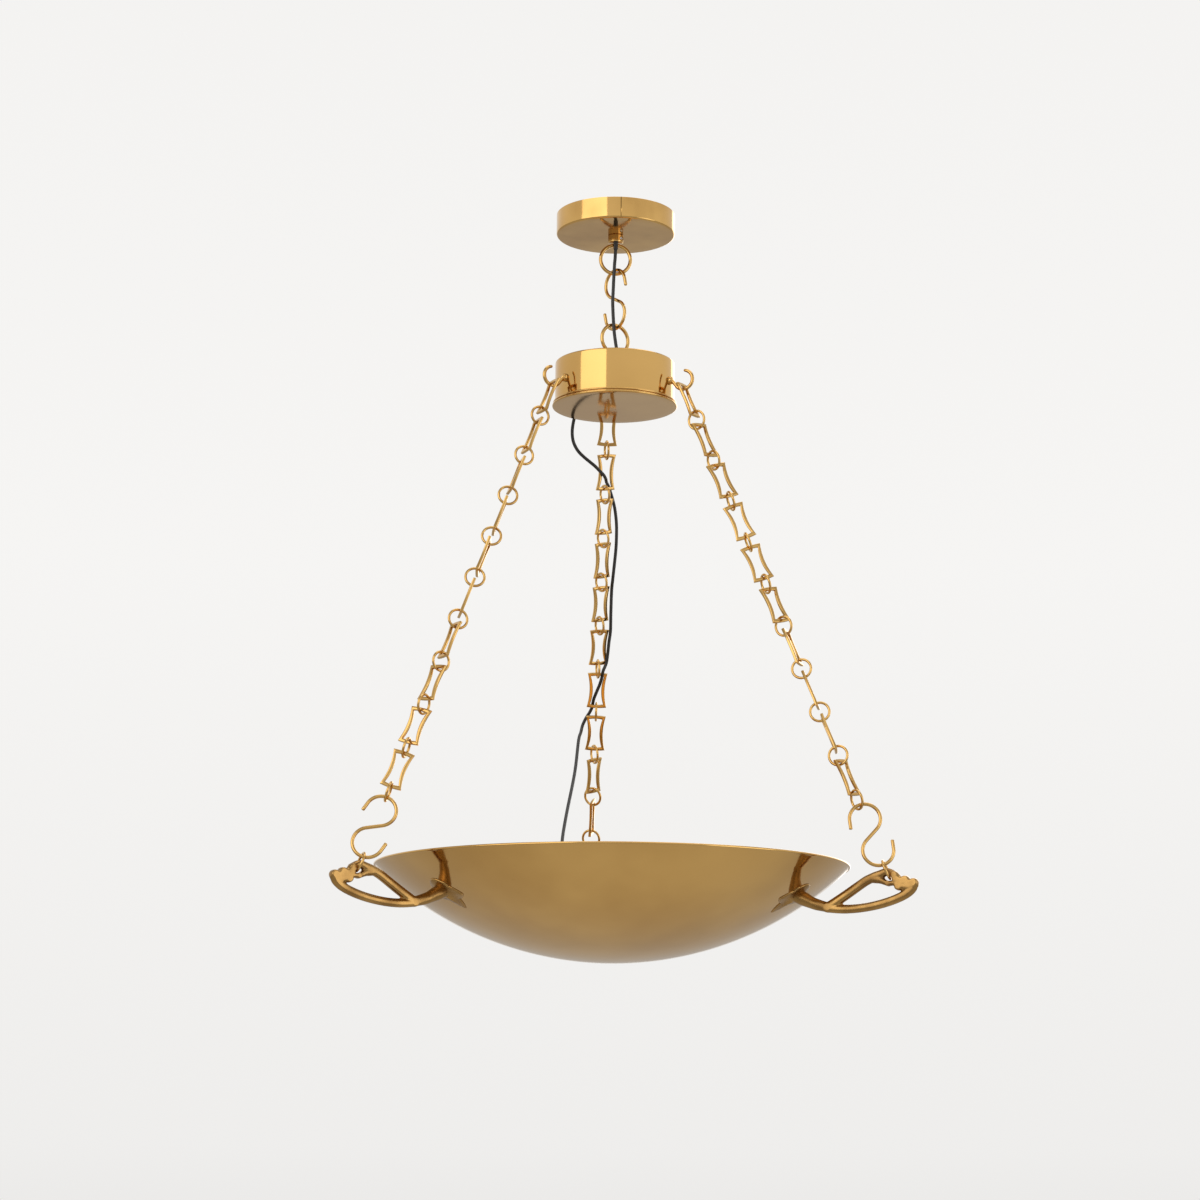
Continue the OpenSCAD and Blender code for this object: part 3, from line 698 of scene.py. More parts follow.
@dataclass(frozen=True)
class Metal:
    """A metal finish: clean metal under a thin smoky veil, with fine marks of how it was worked."""

    name: str
    clean: tuple[float, float, float]
    dull: tuple[float, float, float]
    rough: float
    dull_rough: float
    grain: Grain
    patch: float = 9.0
    amount: float = 0.5
    seam: bool = False

    def build(self) -> bpy.types.Material:
        """Makes the material.

        Returns:
            The finished material.
        """
        b = Bench(bpy.data.materials.new(self.name))
        cloud = b.noise(self.patch, 3.0, rough=0.5)
        veil = b.step(cloud, 0.3, 0.72)
        spots = b.step(b.noise(150.0, 2.0), 0.66, 0.8) * 0.12
        colour = b.mix(veil * self.amount + spots * veil, self.clean, self.dull)
        rough = veil * (self.dull_rough - self.rough) + (b.noise(45.0, 3.0) - 0.5) * 0.05 + self.rough
        split = b.node("ShaderNodeSeparateXYZ", {}, {0: b.place()})
        x, y, z = (Wire(b, split.socket.node.outputs[i]) for i in range(3))
        if self.grain is Grain.SPUN:
            away = (x * x + y * y) ** 0.5
            lines = b.node("ShaderNodeTexNoise", {"noise_dimensions": "1D"},
                           {"W": away + z * 1.7, "Scale": 700.0, "Detail": 3.0, "Roughness": 0.6})
            rough = rough + (lines - 0.5) * 0.04
            height, strength, distance = lines, 0.1, 0.00003
        elif self.grain is Grain.DRAWN:
            height, strength, distance = b.noise(260.0, 2.0, (1, 1, 0.2)), 0.1, 0.00004
        else:
            # Sharp edges turn lighter and smoother: partly rubbed metal on worn edges, partly a painted
            # highlight along the edges.
            rubbed_and_highlit_edges = b.step(b.node("ShaderNodeNewGeometry", out="Pointiness"), 0.505, 0.56)
            colour = b.mix(rubbed_and_highlit_edges * 0.55, colour, tuple(min(1.0, 1.35 * c) for c in self.clean))
            rough = rough - rubbed_and_highlit_edges * 0.08
            height, strength, distance = b.noise(90.0, 3.0) * 2.0 + b.noise(600.0, 2.0) * 0.3, 0.2, 0.00016
        if self.seam:
            line = (b.step((x * x) ** 0.5, 0.00075, 0.0003) * b.step(y, -0.05, -0.06)
                    * b.step(z, -0.0275, -0.0262))
            streaks = b.noise(34.0, 3.0, (1, 1, 0.04)) - 0.5
            colour = b.mix((streaks * 0.5 + line * 0.85).clamped(), colour, tuple(0.3 * c for c in self.dull))
            rough = rough + streaks * 0.1
        return b.finish({"Base Color": colour, "Metallic": 1.0, "Roughness": rough.clamped(),
                         "Normal": b.bump(height, strength, distance)})


@dataclass(frozen=True)
class Moulding:
    """A plastic, rubber or ceramic finish."""

    name: str
    colour: tuple[float, float, float]
    dust: tuple[float, float, float]
    rough: float
    grain: float = 900.0
    relief: float = 0.00008
    coat: float = 0.0

    def build(self) -> bpy.types.Material:
        """Makes the material.

        Returns:
            The finished material.
        """
        b = Bench(bpy.data.materials.new(self.name))
        wear = b.step(b.noise(60.0, 5.0, rough=0.6), 0.52, 0.8)
        colour = b.mix(wear * 0.5, self.colour, self.dust)
        rough = (wear * 0.14 + (b.noise(220.0, 3.0) - 0.5) * 0.1 + self.rough).clamped()
        grain = b.noise(self.grain, 3.0)
        return b.finish({"Base Color": colour, "Roughness": rough, "Coat Weight": self.coat,
                         "Coat Roughness": 0.08, "Normal": b.bump(grain, 0.3, self.relief)})


@dataclass(frozen=True)
class Opal:
    """Opal glass: milky, glossy, and a little brighter where it is thin."""

    name: str = "opal_glass"

    def build(self) -> bpy.types.Material:
        """Makes the material.

        Returns:
            The finished material.
        """
        b = Bench(bpy.data.materials.new(self.name))
        cloud = b.noise(70.0, 4.0)
        colour = b.mix(cloud * 0.6, (0.93, 0.91, 0.86), (0.86, 0.83, 0.76))
        return b.finish({"Base Color": colour, "Roughness": (cloud * 0.08 + 0.1).clamped(), "IOR": 1.5,
                         "Subsurface Weight": 0.25, "Subsurface Radius": (0.004, 0.004, 0.003),
                         "Coat Weight": 0.6, "Coat Roughness": 0.03,
                         "Normal": b.bump(b.noise(140.0, 2.0), 0.1, 0.0002)})


class Finishes:
    """Every finish of the lamp, made once."""

    def __init__(self) -> None:
        """Makes the materials."""
        gold, brown = (0.66, 0.405, 0.135), (0.36, 0.185, 0.05)
        made = [
            Metal("spun_brass", gold, brown, 0.055, 0.11, Grain.SPUN, 6.0, 0.45),
            Metal("cup_brass", gold, brown, 0.08, 0.15, Grain.SPUN, 12.0, 0.5, True),
            Metal("drawn_brass", (0.69, 0.43, 0.145), brown, 0.10, 0.17, Grain.DRAWN, 22.0, 0.4),
            # Cast brass is darker than the other brass: partly a darker cast finish, partly painted shade, as
            # the arms sit in the bowl's shadow.
            Metal("cast_brass", (0.42, 0.245, 0.08), (0.22, 0.115, 0.036), 0.20, 0.32, Grain.CAST, 30.0, 0.8),
            Metal("zinc_steel", (0.62, 0.63, 0.65), (0.42, 0.42, 0.43), 0.28, 0.42, Grain.DRAWN, 26.0),
            Metal("nickel", (0.66, 0.64, 0.60), (0.46, 0.43, 0.39), 0.2, 0.36, Grain.DRAWN, 26.0),
            Moulding("black_rubber", (0.012, 0.011, 0.010), (0.05, 0.045, 0.04), 0.42, 700.0, 0.00012),
            Moulding("black_plastic", (0.014, 0.013, 0.012), (0.06, 0.055, 0.05), 0.33, 1300.0, 0.00005),
            Moulding("white_ceramic", (0.80, 0.78, 0.72), (0.62, 0.57, 0.49), 0.16, 260.0, 0.00012, 0.7),
            Moulding("white_plastic", (0.78, 0.76, 0.71), (0.6, 0.56, 0.5), 0.38, 900.0, 0.00005),
            Opal()]
        self.by_name = {f.name: f.build() for f in made}

    def __getitem__(self, name: str) -> bpy.types.Material:
        """The material of that name."""
        return self.by_name[name]


class Shop:
    """Turns shapes into pieces on their bodies."""

    def __init__(self, frame: dict[str, Any], finishes: Finishes) -> None:
        """Starts the shop.

        Args:
            frame: The loaded frame.
            finishes: The materials.
        """
        self.frame = frame
        self.finishes = finishes

    def make(self, name: str, shape: Shape | bpy.types.Mesh, finish: str, body: str | None,
             node: str, sharp: float = 35.0) -> bpy.types.Object:
        """Makes a piece.

        Args:
            name: The piece's name.
            shape: Its shape, or its mesh.
            finish: Its material.
            body: The body that it rides on, or None where it runs between two and rides on neither.
            node: The node that it stands for.
            sharp: The angle from which an edge is a crease, in degrees.

        Returns:
            The piece.
        """
        mesh = shape.mesh(name, sharp) if isinstance(shape, Shape) else shape
        piece = bpy.data.objects.new(name, mesh)
        bpy.context.scene.collection.objects.link(piece)
        piece.data.materials.clear()
        piece.data.materials.append(self.finishes[finish])
        if body:
            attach(piece, body)
        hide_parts(node)
        LOG.info("made %s with %d faces", name, len(mesh.polygons))
        return piece

    def dress(self, finish: str, *nodes: str) -> None:
        """Gives a finish to nodes whose shape stays.

        Args:
            finish: The material.
            nodes: The nodes.
        """
        for node in nodes:
            piece = self.frame["nodes"][node]
            for slot in piece.material_slots:
                slot.material = self.finishes[finish]
            if not piece.material_slots:
                piece.data.materials.append(self.finishes[finish])
            LOG.info("dressed %s in %s", node, finish)


@dataclass
class Studio:
    """The camera, the lights, the floor and the pale surroundings."""

    spot: Point = (-0.31783, -3.59606, -1.21061)
    right: Point = (0.9964, -0.08455, 0.0068)
    forward: Point = (0.08176, 0.97864, 0.1886)
    lens: float = 85.646
    aim: Point = (0, 0, -0.55)
    floor_z: float = -4.4
    floor_half: float = 60000.0
    soft: float = 0.6
    tint: Point = (1.0, 0.99, 0.975)
    lamps: tuple = (("key", (-2.6, -2.4, 0.7), 3.4, 37.0, (1.0, 0.98, 0.95)),
                    ("fill", (2.9, -1.9, -0.9), 2.4, 18.0, (0.97, 0.98, 1.0)),
                    ("top", (0.3, 0.2, 1.9), 2.8, 27.0, (1.0, 0.98, 0.96)),
                    ("back", (1.6, 3.0, 0.2), 2.4, 22.0, (1.0, 0.98, 0.95)))
    tones: tuple = ((0.0, 0.5), (0.44, 0.7), (0.5, 0.86), (0.6, 0.92), (0.72, 0.9), (0.86, 0.6), (1.0, 0.45))

    def camera(self) -> None:
        """Stands the camera where the photograph was taken from."""
        made = bpy.data.cameras.new("camera")
        made.lens, made.sensor_width, made.sensor_fit = self.lens, 36.0, "HORIZONTAL"
        made.clip_end = 100.0
        eye = bpy.data.objects.new("camera", made)
        ahead = Vector(self.forward).normalized()
        across = (Vector(self.right) - ahead * ahead.dot(Vector(self.right))).normalized()
        up = across.cross(ahead)
        eye.matrix_world = Matrix.Translation(self.spot) @ Matrix((across, up, -ahead)).transposed().to_4x4()
        bpy.context.scene.collection.objects.link(eye)
        bpy.context.scene.camera = eye
        LOG.info("made the camera")

    def light(self) -> None:
        """Hangs the large soft lamps."""
        for name, at, size, power, colour in self.lamps:
            made = bpy.data.lights.new(name, "AREA")
            made.shape, made.size, made.energy, made.color = "DISK", size, power, colour
            lamp = bpy.data.objects.new(name, made)
            lamp.location = at
            lamp.rotation_euler = (Vector(self.aim) - Vector(at)).to_track_quat("-Z", "Y").to_euler()
            lamp.visible_camera = False
            bpy.context.scene.collection.objects.link(lamp)
        LOG.info("made %d lamps", len(self.lamps))

    def surround(self) -> None:
        """Makes the world: pale to the camera and in mirrors and glass, softer as a light."""
        world = bpy.data.worlds.new("surroundings")
        bpy.context.scene.world = world
        b = Bench(world)
        path = b.node("ShaderNodeLightPath", out="Is Camera Ray")
        rays = path.socket.node.outputs
        mirror, clear = (Wire(b, rays[f"Is {kind} Ray"]) for kind in ("Glossy", "Transmission"))
        seen = (path + mirror + clear).clamped()
        split = b.node("ShaderNodeSeparateXYZ", {}, {0: b.node("ShaderNodeTexCoord", out="Generated")})
        height = Wire(b, split.socket.node.outputs["Z"]) * 0.5 + 0.5
        stops = [(at, [tone * c for c in self.tint]) for at, tone in self.tones]
        sky = b.node("ShaderNodeValToRGB", {"stops": stops}, {0: height})
        colour = b.mix(seen, [self.soft * c for c in self.tint], sky)
        light = b.node("ShaderNodeBackground", {}, {"Color": colour})
        b.node("ShaderNodeOutputWorld", {}, {"Surface": light})
        LOG.info("made the surroundings")

    def floor(self) -> None:
        """Lays the pale floor, which keeps the lamp's shadow."""
        shape = Shape()
        half, z = self.floor_half, self.floor_z / MM
        shape.grid([[(-half, -half, z), (half, -half, z)], [(-half, half, z), (half, half, z)]], False)
        mesh = shape.mesh("floor")
        made = bpy.data.objects.new("floor", mesh)
        b = Bench(bpy.data.materials.new("floor_paint"))
        tone = b.mix(b.noise(3.0, 4.0) * 0.4, (0.80, 0.79, 0.77), (0.76, 0.75, 0.73))
        mesh.materials.append(b.finish({"Base Color": tone, "Roughness": 0.85}))
        bpy.context.scene.collection.objects.link(made)
        LOG.info("made the floor")

    def build(self) -> None:
        """Builds the whole studio."""
        self.camera()
        self.light()
        self.surround()
        self.floor()


@dataclass
class Cords:
    """The black cord down the middle, and the second one from the drum down the back chain into the bowl."""

    plan: Plan
    shop: Shop
    ferrule: tuple = ((-0.5, -7, -38), (-0.5, -7, -46), (-0.8, -7, -54), (-1.2, -7, -62), (-1.8, -7, -69))
    ring: tuple = ((-2.3, -7, -79), (-2.8, -7, -89), (-3.2, -7, -100), (-3.6, -7, -110))
    hook: tuple = ((-4, -7, -120), (-3.6, -7, -132), (-3, -7, -144), (-2.4, -8, -155), (-1.6, -9, -165))
    hub: tuple = ((-0.6, -10.6, -174), (0.4, -12.4, -182), (1.4, -14.8, -189), (2, -16, -195), (2, -16, -202))
    drum: tuple = ((-44.5, 84.5, -250), (-47, 92, -259), (-48, 98, -271), (-46, 103, -283), (-40, 106, -294),
                   (-31, 107, -303), (-16.9, 109.8, -313.6), (-9.1, 117.4, -318.9), (-3.5, 122.7, -322.9),
                   (0.1, 130.2, -326.7), (1.8, 137.7, -329.4), (5.7, 146.3, -333.9))
    chain: tuple = ((12, 156.5, -349), (15.5, 160.5, -362), (18, 165, -380), (18.5, 169, -399),
                    (18, 174, -417), (15.6, 186, -450), (14.6, 194.5, -467), (14.6, 204, -496),
                    (14.9, 211.9, -519.1), (13.4, 217.6, -534.1), (12.4, 223.6, -548.9),
                    (10.8, 227.9, -561.2), (6.6, 228.8, -572.1), (5.5, 232.8, -579.7), (3.1, 238.7, -588.5),
                    (-0.7, 246.3, -598.4), (-3.7, 252.9, -606.4), (-4.7, 258.1, -611.8),
                    (-5.5, 262.1, -617.2), (-8.4, 265.9, -623.7), (-12.9, 269.4, -630.9))
    bowl: tuple = ((-17.6, 267.5, -641), (-21, 257, -653), (-25.3, 240, -667), (-34, 190, -718),
                   (-50, 120, -784), (-58, 78, -824), (-61.5, 38, -868), (-62, 14, -901), (-62, 3, -920))
    foot_up: float = 1.55

    def out_of_drum(self, share: float) -> tuple[float, float, float]:
        """A point on the line that leaves the drum's wall, at a share of the drum's radius."""
        r, a = share * self.plan.hub_r, radians(self.plan.exit_turn)
        return r * cos(a), r * sin(a), self.plan.hub_low + self.plan.exit_up

    def into_grip(self, up: float) -> tuple[float, float, float]:
        """A point in the cord grip, at a height above its foot."""
        return self.plan.grip_x, 0.0, self.plan.tray_z + self.foot_up + up

    def lay(self, routes: Sequence[tuple[str, str, str, Sequence[Point]]], side: Point) -> None:
        """Lays one cord as the stretches that its moving neighbours carry.

        Args:
            routes: For each stretch its node, the two bodies that it runs between, and its points. The
                first stretch has its start, and each other one starts where the last one ends.
            side: A direction that is nowhere along the cord.
        """
        marks: list[int] = []
        line = smooth_line([p for _, _, _, points in routes for p in points], 2.5, marks)
        ways = headings(line)
        first = 0
        for node, one, two, points in routes:
            last = first + len(points) - (1 if first == 0 else 0)
            part = slice(marks[first], marks[last] + 1)
            stretch, way = line[part], ways[part]
            shape = Shape()
            shape.sweep(stretch, self.plan.cord_d / 2, side=side, sides=16, dome=False, ways=way)
            carrier = one if one == two else None
            piece = self.shop.make(f"{node}_flex", shape, "black_rubber", carrier, node, 60.0)
            path = [p * MM for p in stretch]
            if one != two:
                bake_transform(piece)
            length = sum((b - a).length for a, b in zip(path, path[1:]))
            first = last

    def build(self) -> None:
        """Lays both cords."""
        self.lay([("ferrule_cord", "ceiling", "top_ring", self.ferrule),
                  ("ring_cord", "top_ring", "top_hook", self.ring),
                  ("hook_cord", "top_hook", "hub_ring", self.hook),
                  ("hub_cord", "hub_ring", "hub", self.hub)], (1, 0, 0))
        start = (self.out_of_drum(1.0), self.out_of_drum(1.1))
        end = (self.into_grip(25.0), self.into_grip(4.3))
        self.lay([("drum_cord", "hub", "back_chain", (*start, *self.drum)),
                  ("chain_cord", "back_chain", "back_chain", self.chain),
                  ("bowl_cord", "back_chain", "bowl", (*self.bowl, *end))], (0.3, 1, 0))


@dataclass
class CeilingGroup:
    """The ceiling cup, its ferrule with the eye, and what holds them."""

    plan: Plan
    shop: Shop
    ferrule_d: float = 20.0
    ferrule_h: float = 10.0
    eye_t: float = 4.0
    screw_turn: float = -50.0
    joint_turns: tuple = (-0.28, -0.12, 0.0, 0.12, 0.28)
    joint_deep: float = 0.28

    def cup(self) -> None:
        """Spins the ceiling cup, with a soft lower edge and a soldered joint down its front."""
        p, e = self.plan, self.plan.spun_edge
        r, h, t = p.canopy_r, p.canopy_h, p.sheet
        outside = [(r, -0.3), (r, -6), (r, -12), (r, -18), *reversed(arc((r - e, -h + e), e, -90, 0, 8)),
                   (r * 0.8, -h), (r * 0.5, -h), (12, -h), (4.1, -h)]
        inside = [(4.1, -h + t), (12, -h + t), (r * 0.5, -h + t), (r * 0.8, -h + t),
                  *arc((r - e, -h + e), e - t, -90, 0, 5), (r - t, -18), (r - t, -12), (r - t, -6),
                  (r - t, -0.3), (r - t + 0.3, 0), (r - 0.3, 0)]
        angles = [270 + d for d in self.joint_turns]
        angles += [272 + i * 356 / 190 for i in range(191)]
        shape = Shape()
        shape.spin(list(reversed(outside + inside)), angles, True)
        for v in shape.points:
            if abs(v.x) < 0.2 and v.y < 0 and hypot(v.x, v.y) > r - 0.4 and -h + e < v.z < -0.2:
                v.y += self.joint_deep
        self.shop.make("ceiling_cup", shape, "cup_brass", "ceiling", "canopy")

    def ferrule(self) -> None:
        """Turns the ferrule, with its flat eye for the upper ring."""
        p, r, c = self.plan, self.ferrule_d / 2, 0.6
        top, low = -p.canopy_h - GAP, -p.canopy_h - self.ferrule_h
        shape = Shape()
        shape.spin([(CORE, low), (r - c - 0.4, low), (r - 0.35, low + 0.3), (r, low + c + 0.4),
                    (r, low + 2.0), (r - 0.35, low + 2.3), (r - 0.35, low + 2.8), (r, low + 3.1),
                    (r, top - c), (r - c, top), (CORE, top)], full_turn(64))
        inner, outer, half, trim = p.ring_rod / 2 + p.hang_gap + 0.1, 4.45, self.eye_t / 2, 3.9
        rows = []
        for k in range(48):
            a = 2 * pi * k / 48
            reach = min(outer, trim / -cos(a)) if cos(a) < -0.2 else outer
            section = [(inner + 0.3, -half), (inner, -half + 0.4), (inner, half - 0.4), (inner + 0.3, half),
                       (reach - 0.6, half), (reach - 0.15, half - 0.25), (reach, half - 0.8),
                       (reach, -half + 0.8), (reach - 0.15, -half + 0.25), (reach - 0.6, -half)]
            rows.append([(x, d * cos(a), p.eye_z + d * sin(a)) for d, x in section])
        shape.grid(rows, True, True)
        x0, x1 = -half + 0.3, half - 0.3
        shape.grid([[(x0, -3.4, z), (x1, -3.4, z), (x1, 3.6, z), (x0, 3.6, z)]
                    for z in (p.eye_z + inner + 0.2, low + 0.4)])
        self.shop.make("ferrule_turning", shape, "drawn_brass", "ceiling", "ferrule")

    def sleeve(self) -> None:
        """Moulds the short sleeve where the cord leaves the ferrule."""
        p = self.plan
        top = -p.canopy_h - self.ferrule_h - GAP
        shape = Shape()
        shape.spin([(2.25, top - 11), (2.55, top - 11), (2.8, top - 10.6), (2.95, top - 9.8), (2.95, top - 3),
                    (3.0, top - 2.6), (3.0, top), (2.25, top)], full_turn(24), True)
        for v in shape.points:
            v.x, v.y = v.x - 0.5, v.y - 7
        self.shop.make("cord_sleeve_moulding", shape, "black_rubber", "ceiling", "cord_sleeve")

    def screw(self) -> None:
        """Turns the ferrule's small screw, with a slot in its head."""
        shape = Shape()
        shape.add(screw_head(2.1, 0.95, 0.5), shift(0, 0, self.ferrule_d / 2 - 7))
        shape.spin([(1.3, -0.2), (1.3, self.ferrule_d / 2 - 6.9)], full_turn(18))
        place = (rotate(self.screw_turn, "Z")
                 @ shift(7.1, 0, -self.plan.canopy_h - self.ferrule_h / 2)
                 @ rotate(90, "Y"))
        self.shop.make("ferrule_set_screw", shape.moved(place), "zinc_steel", "ceiling", "ferrule_screw")

    def build(self) -> None:
        """Builds the group."""
        self.cup()
        self.ferrule()
        self.sleeve()
        self.screw()
        self.shop.dress("zinc_steel", "ceiling_bracket", "suspension_bolt", "suspension_nut")
        self.shop.dress("white_ceramic", "mains_terminal")
        self.shop.dress("black_rubber", "canopy_lead")


def screw_head(r: float, h: float, slot: float) -> Shape:
    """A low domed screw head with a slot.

    Args:
        r: Its radius.
        h: Its height.
        slot: Half the slot's width.

    Returns:
        The head, standing on z = 0.
    """
    shape = Shape()
    rows = []
    sides = 32
    for share, up in ((1.0, 0.0), (1.0, 0.35), (0.95, 0.62), (0.82, 0.84), (0.6, 0.96), (0.3, 1.0)):
        rows.append([(share * r * cos(2 * pi * k / sides), share * r * sin(2 * pi * k / sides), up * h)
                     for k in range(sides)])
    shape.grid(rows)
    shape.cap(rows[-1], True)
    for v in shape.points:
        if v.z > 0.3 * h and abs(v.y) < slot:
            v.z = 0.45 * h
    return shape


def s_hook(plan: Plan) -> Shape:
    """An S-hook in the XY plane with its long axis along Y.

    Args:
        plan: The shared sizes.

    Returns:
        The hook.
    """
    rise = plan.hook_l / 2 - plan.loop_r
    start = degrees(acos(plan.loop_r / rise)) - 90
    bend = arc((0, rise), plan.loop_r, 90 + plan.tip_turn, start, 46)
    turn = radians(90 + plan.tip_turn)
    x, y = bend[0]
    tail = [(x - d * sin(turn), y + d * cos(turn)) for d in (11.0, 10.6, 10.0, 7.5, 5.0, 2.5)]
    upper = [(x, y, 0) for x, y in tail + bend]
    line = upper + [(-x, -y, 0) for x, y, _ in reversed(upper)]
    n, ends = len(line), (0.8, 0.94, 1.0)
    size = [(plan.hook_rod / 2 - plan.hook_slim) * ends[min(i, n - 1 - i, 2)] for i in range(n)]
    shape = Shape()
    shape.sweep(line, size, sides=22, dome=False)
    return shape


@dataclass
class Suspension:
    """The two rings and the S-hook between the ferrule and the hub."""

    plan: Plan
    shop: Shop
    hook_face: float = 126.0
    ring_face: float = 25.0

    def build(self) -> None:
        """Builds the rings and the hook."""
        p = self.plan
        for name, node, z, face in (("upper_ring", "top_ring", p.top_ring_z, 0.0),
                                    ("lower_ring", "hub_ring", p.hub_ring_z, self.ring_face)):
            shape = Shape()
            shape.ring(p.ring_c, p.ring_rod, shift(0, 0, z) @ rotate(face, "Z")
                       @ rotate(90, "X"), 96, 24)
            self.shop.make(name, shape, "drawn_brass", node, node)
        hook = s_hook(p).moved(shift(0, 0, p.top_hook_z - p.hook_l / 2)
                  @ rotate(self.hook_face, "Z") @ rotate(90, "X"))
        self.shop.make("middle_hook", hook, "drawn_brass", "top_hook", "top_hook")


@dataclass
class Hub:
    """The drum that the three chains hang from, its eye, its beaded plate and its hooks."""

    plan: Plan
    shop: Shop
    lip: float = 3.5
    bead: float = 2.8
    eye_turn: float = 115.0
    boss_d: float = 11.0
    boss_l: float = 4.5
    hook_end: float = 440.0

    def drum(self) -> None:
        """Spins the drum."""
        p, e, t = self.plan, self.plan.spun_edge, self.plan.sheet
        r, top, low = p.hub_r, p.hub_top, p.hub_low
        walls = [low + 1 + (top - e - low - 1) * i / 5 for i in range(6)]
        outline = [(r, low), *((r, z) for z in walls), *arc((r - e, top - e), e, 0, 90, 8)[1:],
                   (r * 0.75, top), (r * 0.45, top), (9, top), (CORE, top)]
        inner = [(CORE, top - t), (9, top - t), (r * 0.45, top - t), (r * 0.75, top - t),
                 *reversed(arc((r - e, top - e), e - t, 0, 90, 4)), (r - t, top - 10), (r - t, low)]
        shape = Shape()
        shape.spin(outline + inner, full_turn(200), True)
        self.shop.make("hub_spinning", shape, "spun_brass", "hub", "hub_drum")

    def plate(self) -> None:
        """Spins the plate that closes the drum, with two beads round its edge."""
        p, b = self.plan, self.bead
        low = p.hub_low - 2 * b - 1 - GAP
        r1, r2 = p.hub_r + self.lip, p.hub_r + self.lip - 1
        neck = p.hub_r + self.lip - b
        outline = [(CORE, low), (r1 * 0.3, low), (r1 * 0.6, low), (r1 * 0.85, low),
                   *arc((r1 - b / 2, low + b / 2), b / 2, -90, 84, 12), (neck, low + b + 0.05),
                   (neck, low + b + 0.95), *arc((r2 - b / 2, low + b + 1 + b / 2), b / 2, -84, 90, 12),
                   (p.hub_r - 1.7, low + 2 * b + 1), (p.hub_r - 1.7, low + 2 * b + 5),
                   (CORE, low + 2 * b + 5)]
        shape = Shape()
        shape.spin(outline, full_turn(200))
        self.shop.make("hub_plate_spinning", shape, "spun_brass", "hub", "hub_plate")

    def eye(self) -> None:
        """Makes the eye on the drum, on its small turned collar."""
        p = self.plan
        shape = Shape()
        shape.ring(p.eye_c, p.hook_rod, shift(0, 0, p.hub_eye_z)
                   @ rotate(self.eye_turn, "Z") @ rotate(90, "X"), 64, 22, 0.0)
        z = p.hub_top + GAP
        shape.spin([(CORE, z), (p.eye_c - 0.1, z), (p.eye_c, z + 0.25), (p.eye_c, z + 0.7),
                    (p.eye_c - 0.6, z + 1.1), (5.6, z + 1.45), (CORE, z + p.collar_h)], full_turn(64))
        self.shop.make("hub_eye_casting", shape, "drawn_brass", "hub", "hub_eye")

    def hook(self, arm: Arm) -> None:
        """Bends one chain hook out of its boss.

        Args:
            arm: The arm whose chain hangs there.
        """
        p = self.plan
        seat, boss_z = p.hub_r + GAP, p.hub_low + p.boss_up
        start, middle = Vector((seat + self.boss_l - 1, boss_z)), Vector((p.chain_r, p.chain_z + p.hook_r))
        gap = start - middle
        turn = degrees(atan2(gap.y, gap.x)) + degrees(acos(p.hook_r / gap.length))
        bend = arc(middle, p.hook_r, turn, self.hook_end, 44)
        x, y = bend[0]
        line = [(start.x + (x - start.x) * t, start.y + (y - start.y) * t) for t in (0.0, 0.3, 0.6, 0.85)]
        line += bend
        n = len(line)
        size = [p.hook_rod / 2 * (1 - 0.14 * max(0.0, 1 - (n - 1 - i) / 5) ** 1.5) for i in range(n)]
        rod = Shape()
        rod.sweep([(x, y, 0) for x, y in line], size, sides=20)
        turned = Shape()
        b, l = self.boss_d / 2, self.boss_l
        turned.spin([(CORE, 0), (b, 0), (b, 1.2), (b - 0.5, 1.6), (b - 0.5, l - 1.6), (b - 0.9, l - 0.6),
                     (b - 2.0, l), (CORE, l)], full_turn(48))
        shape = Shape()
        shape.add(rod, arm.turned @ rotate(90, "X"))
        shape.add(turned, arm.turned @ shift(seat, 0, boss_z) @ rotate(90, "Y"))
        self.shop.make(f"{arm.key}_drum_hook", shape, "drawn_brass", "hub", f"{arm.key}_hub_hook")

    def grommets(self) -> None:
        """Moulds the two rubber bushes of the cords."""
        p = self.plan
        bush = Shape()
        bush.spin([(2.25, -2.4), (3.4, -2.4), (3.5, -2.0), (3.5, 0), (5.0, 0), (5.1, 0.35), (4.9, 0.95),
                   (4.2, 1.35), (3.0, 1.4), (2.45, 1.15), (2.25, 0.7)], full_turn(40), True)
        shape = Shape()
        shape.add(bush, shift(2, -16, p.hub_top + GAP))
        shape.add(bush, rotate(p.exit_turn, "Z") @ shift(p.hub_r + 0.2, 0, p.hub_low + p.exit_up)
                  @ rotate(90, "Y"))
        self.shop.make("hub_bushes", shape, "black_rubber", "hub", "hub_grommets")

    def build(self) -> None:
        """Builds the hub."""
        self.drum()
        self.plate()
        self.eye()
        for arm in Arm:
            self.hook(arm)
        self.grommets()
        self.shop.dress("zinc_steel", "hub_nuts")
        self.shop.dress("white_ceramic", "hub_terminal")
        self.shop.dress("black_rubber", "hub_leads")


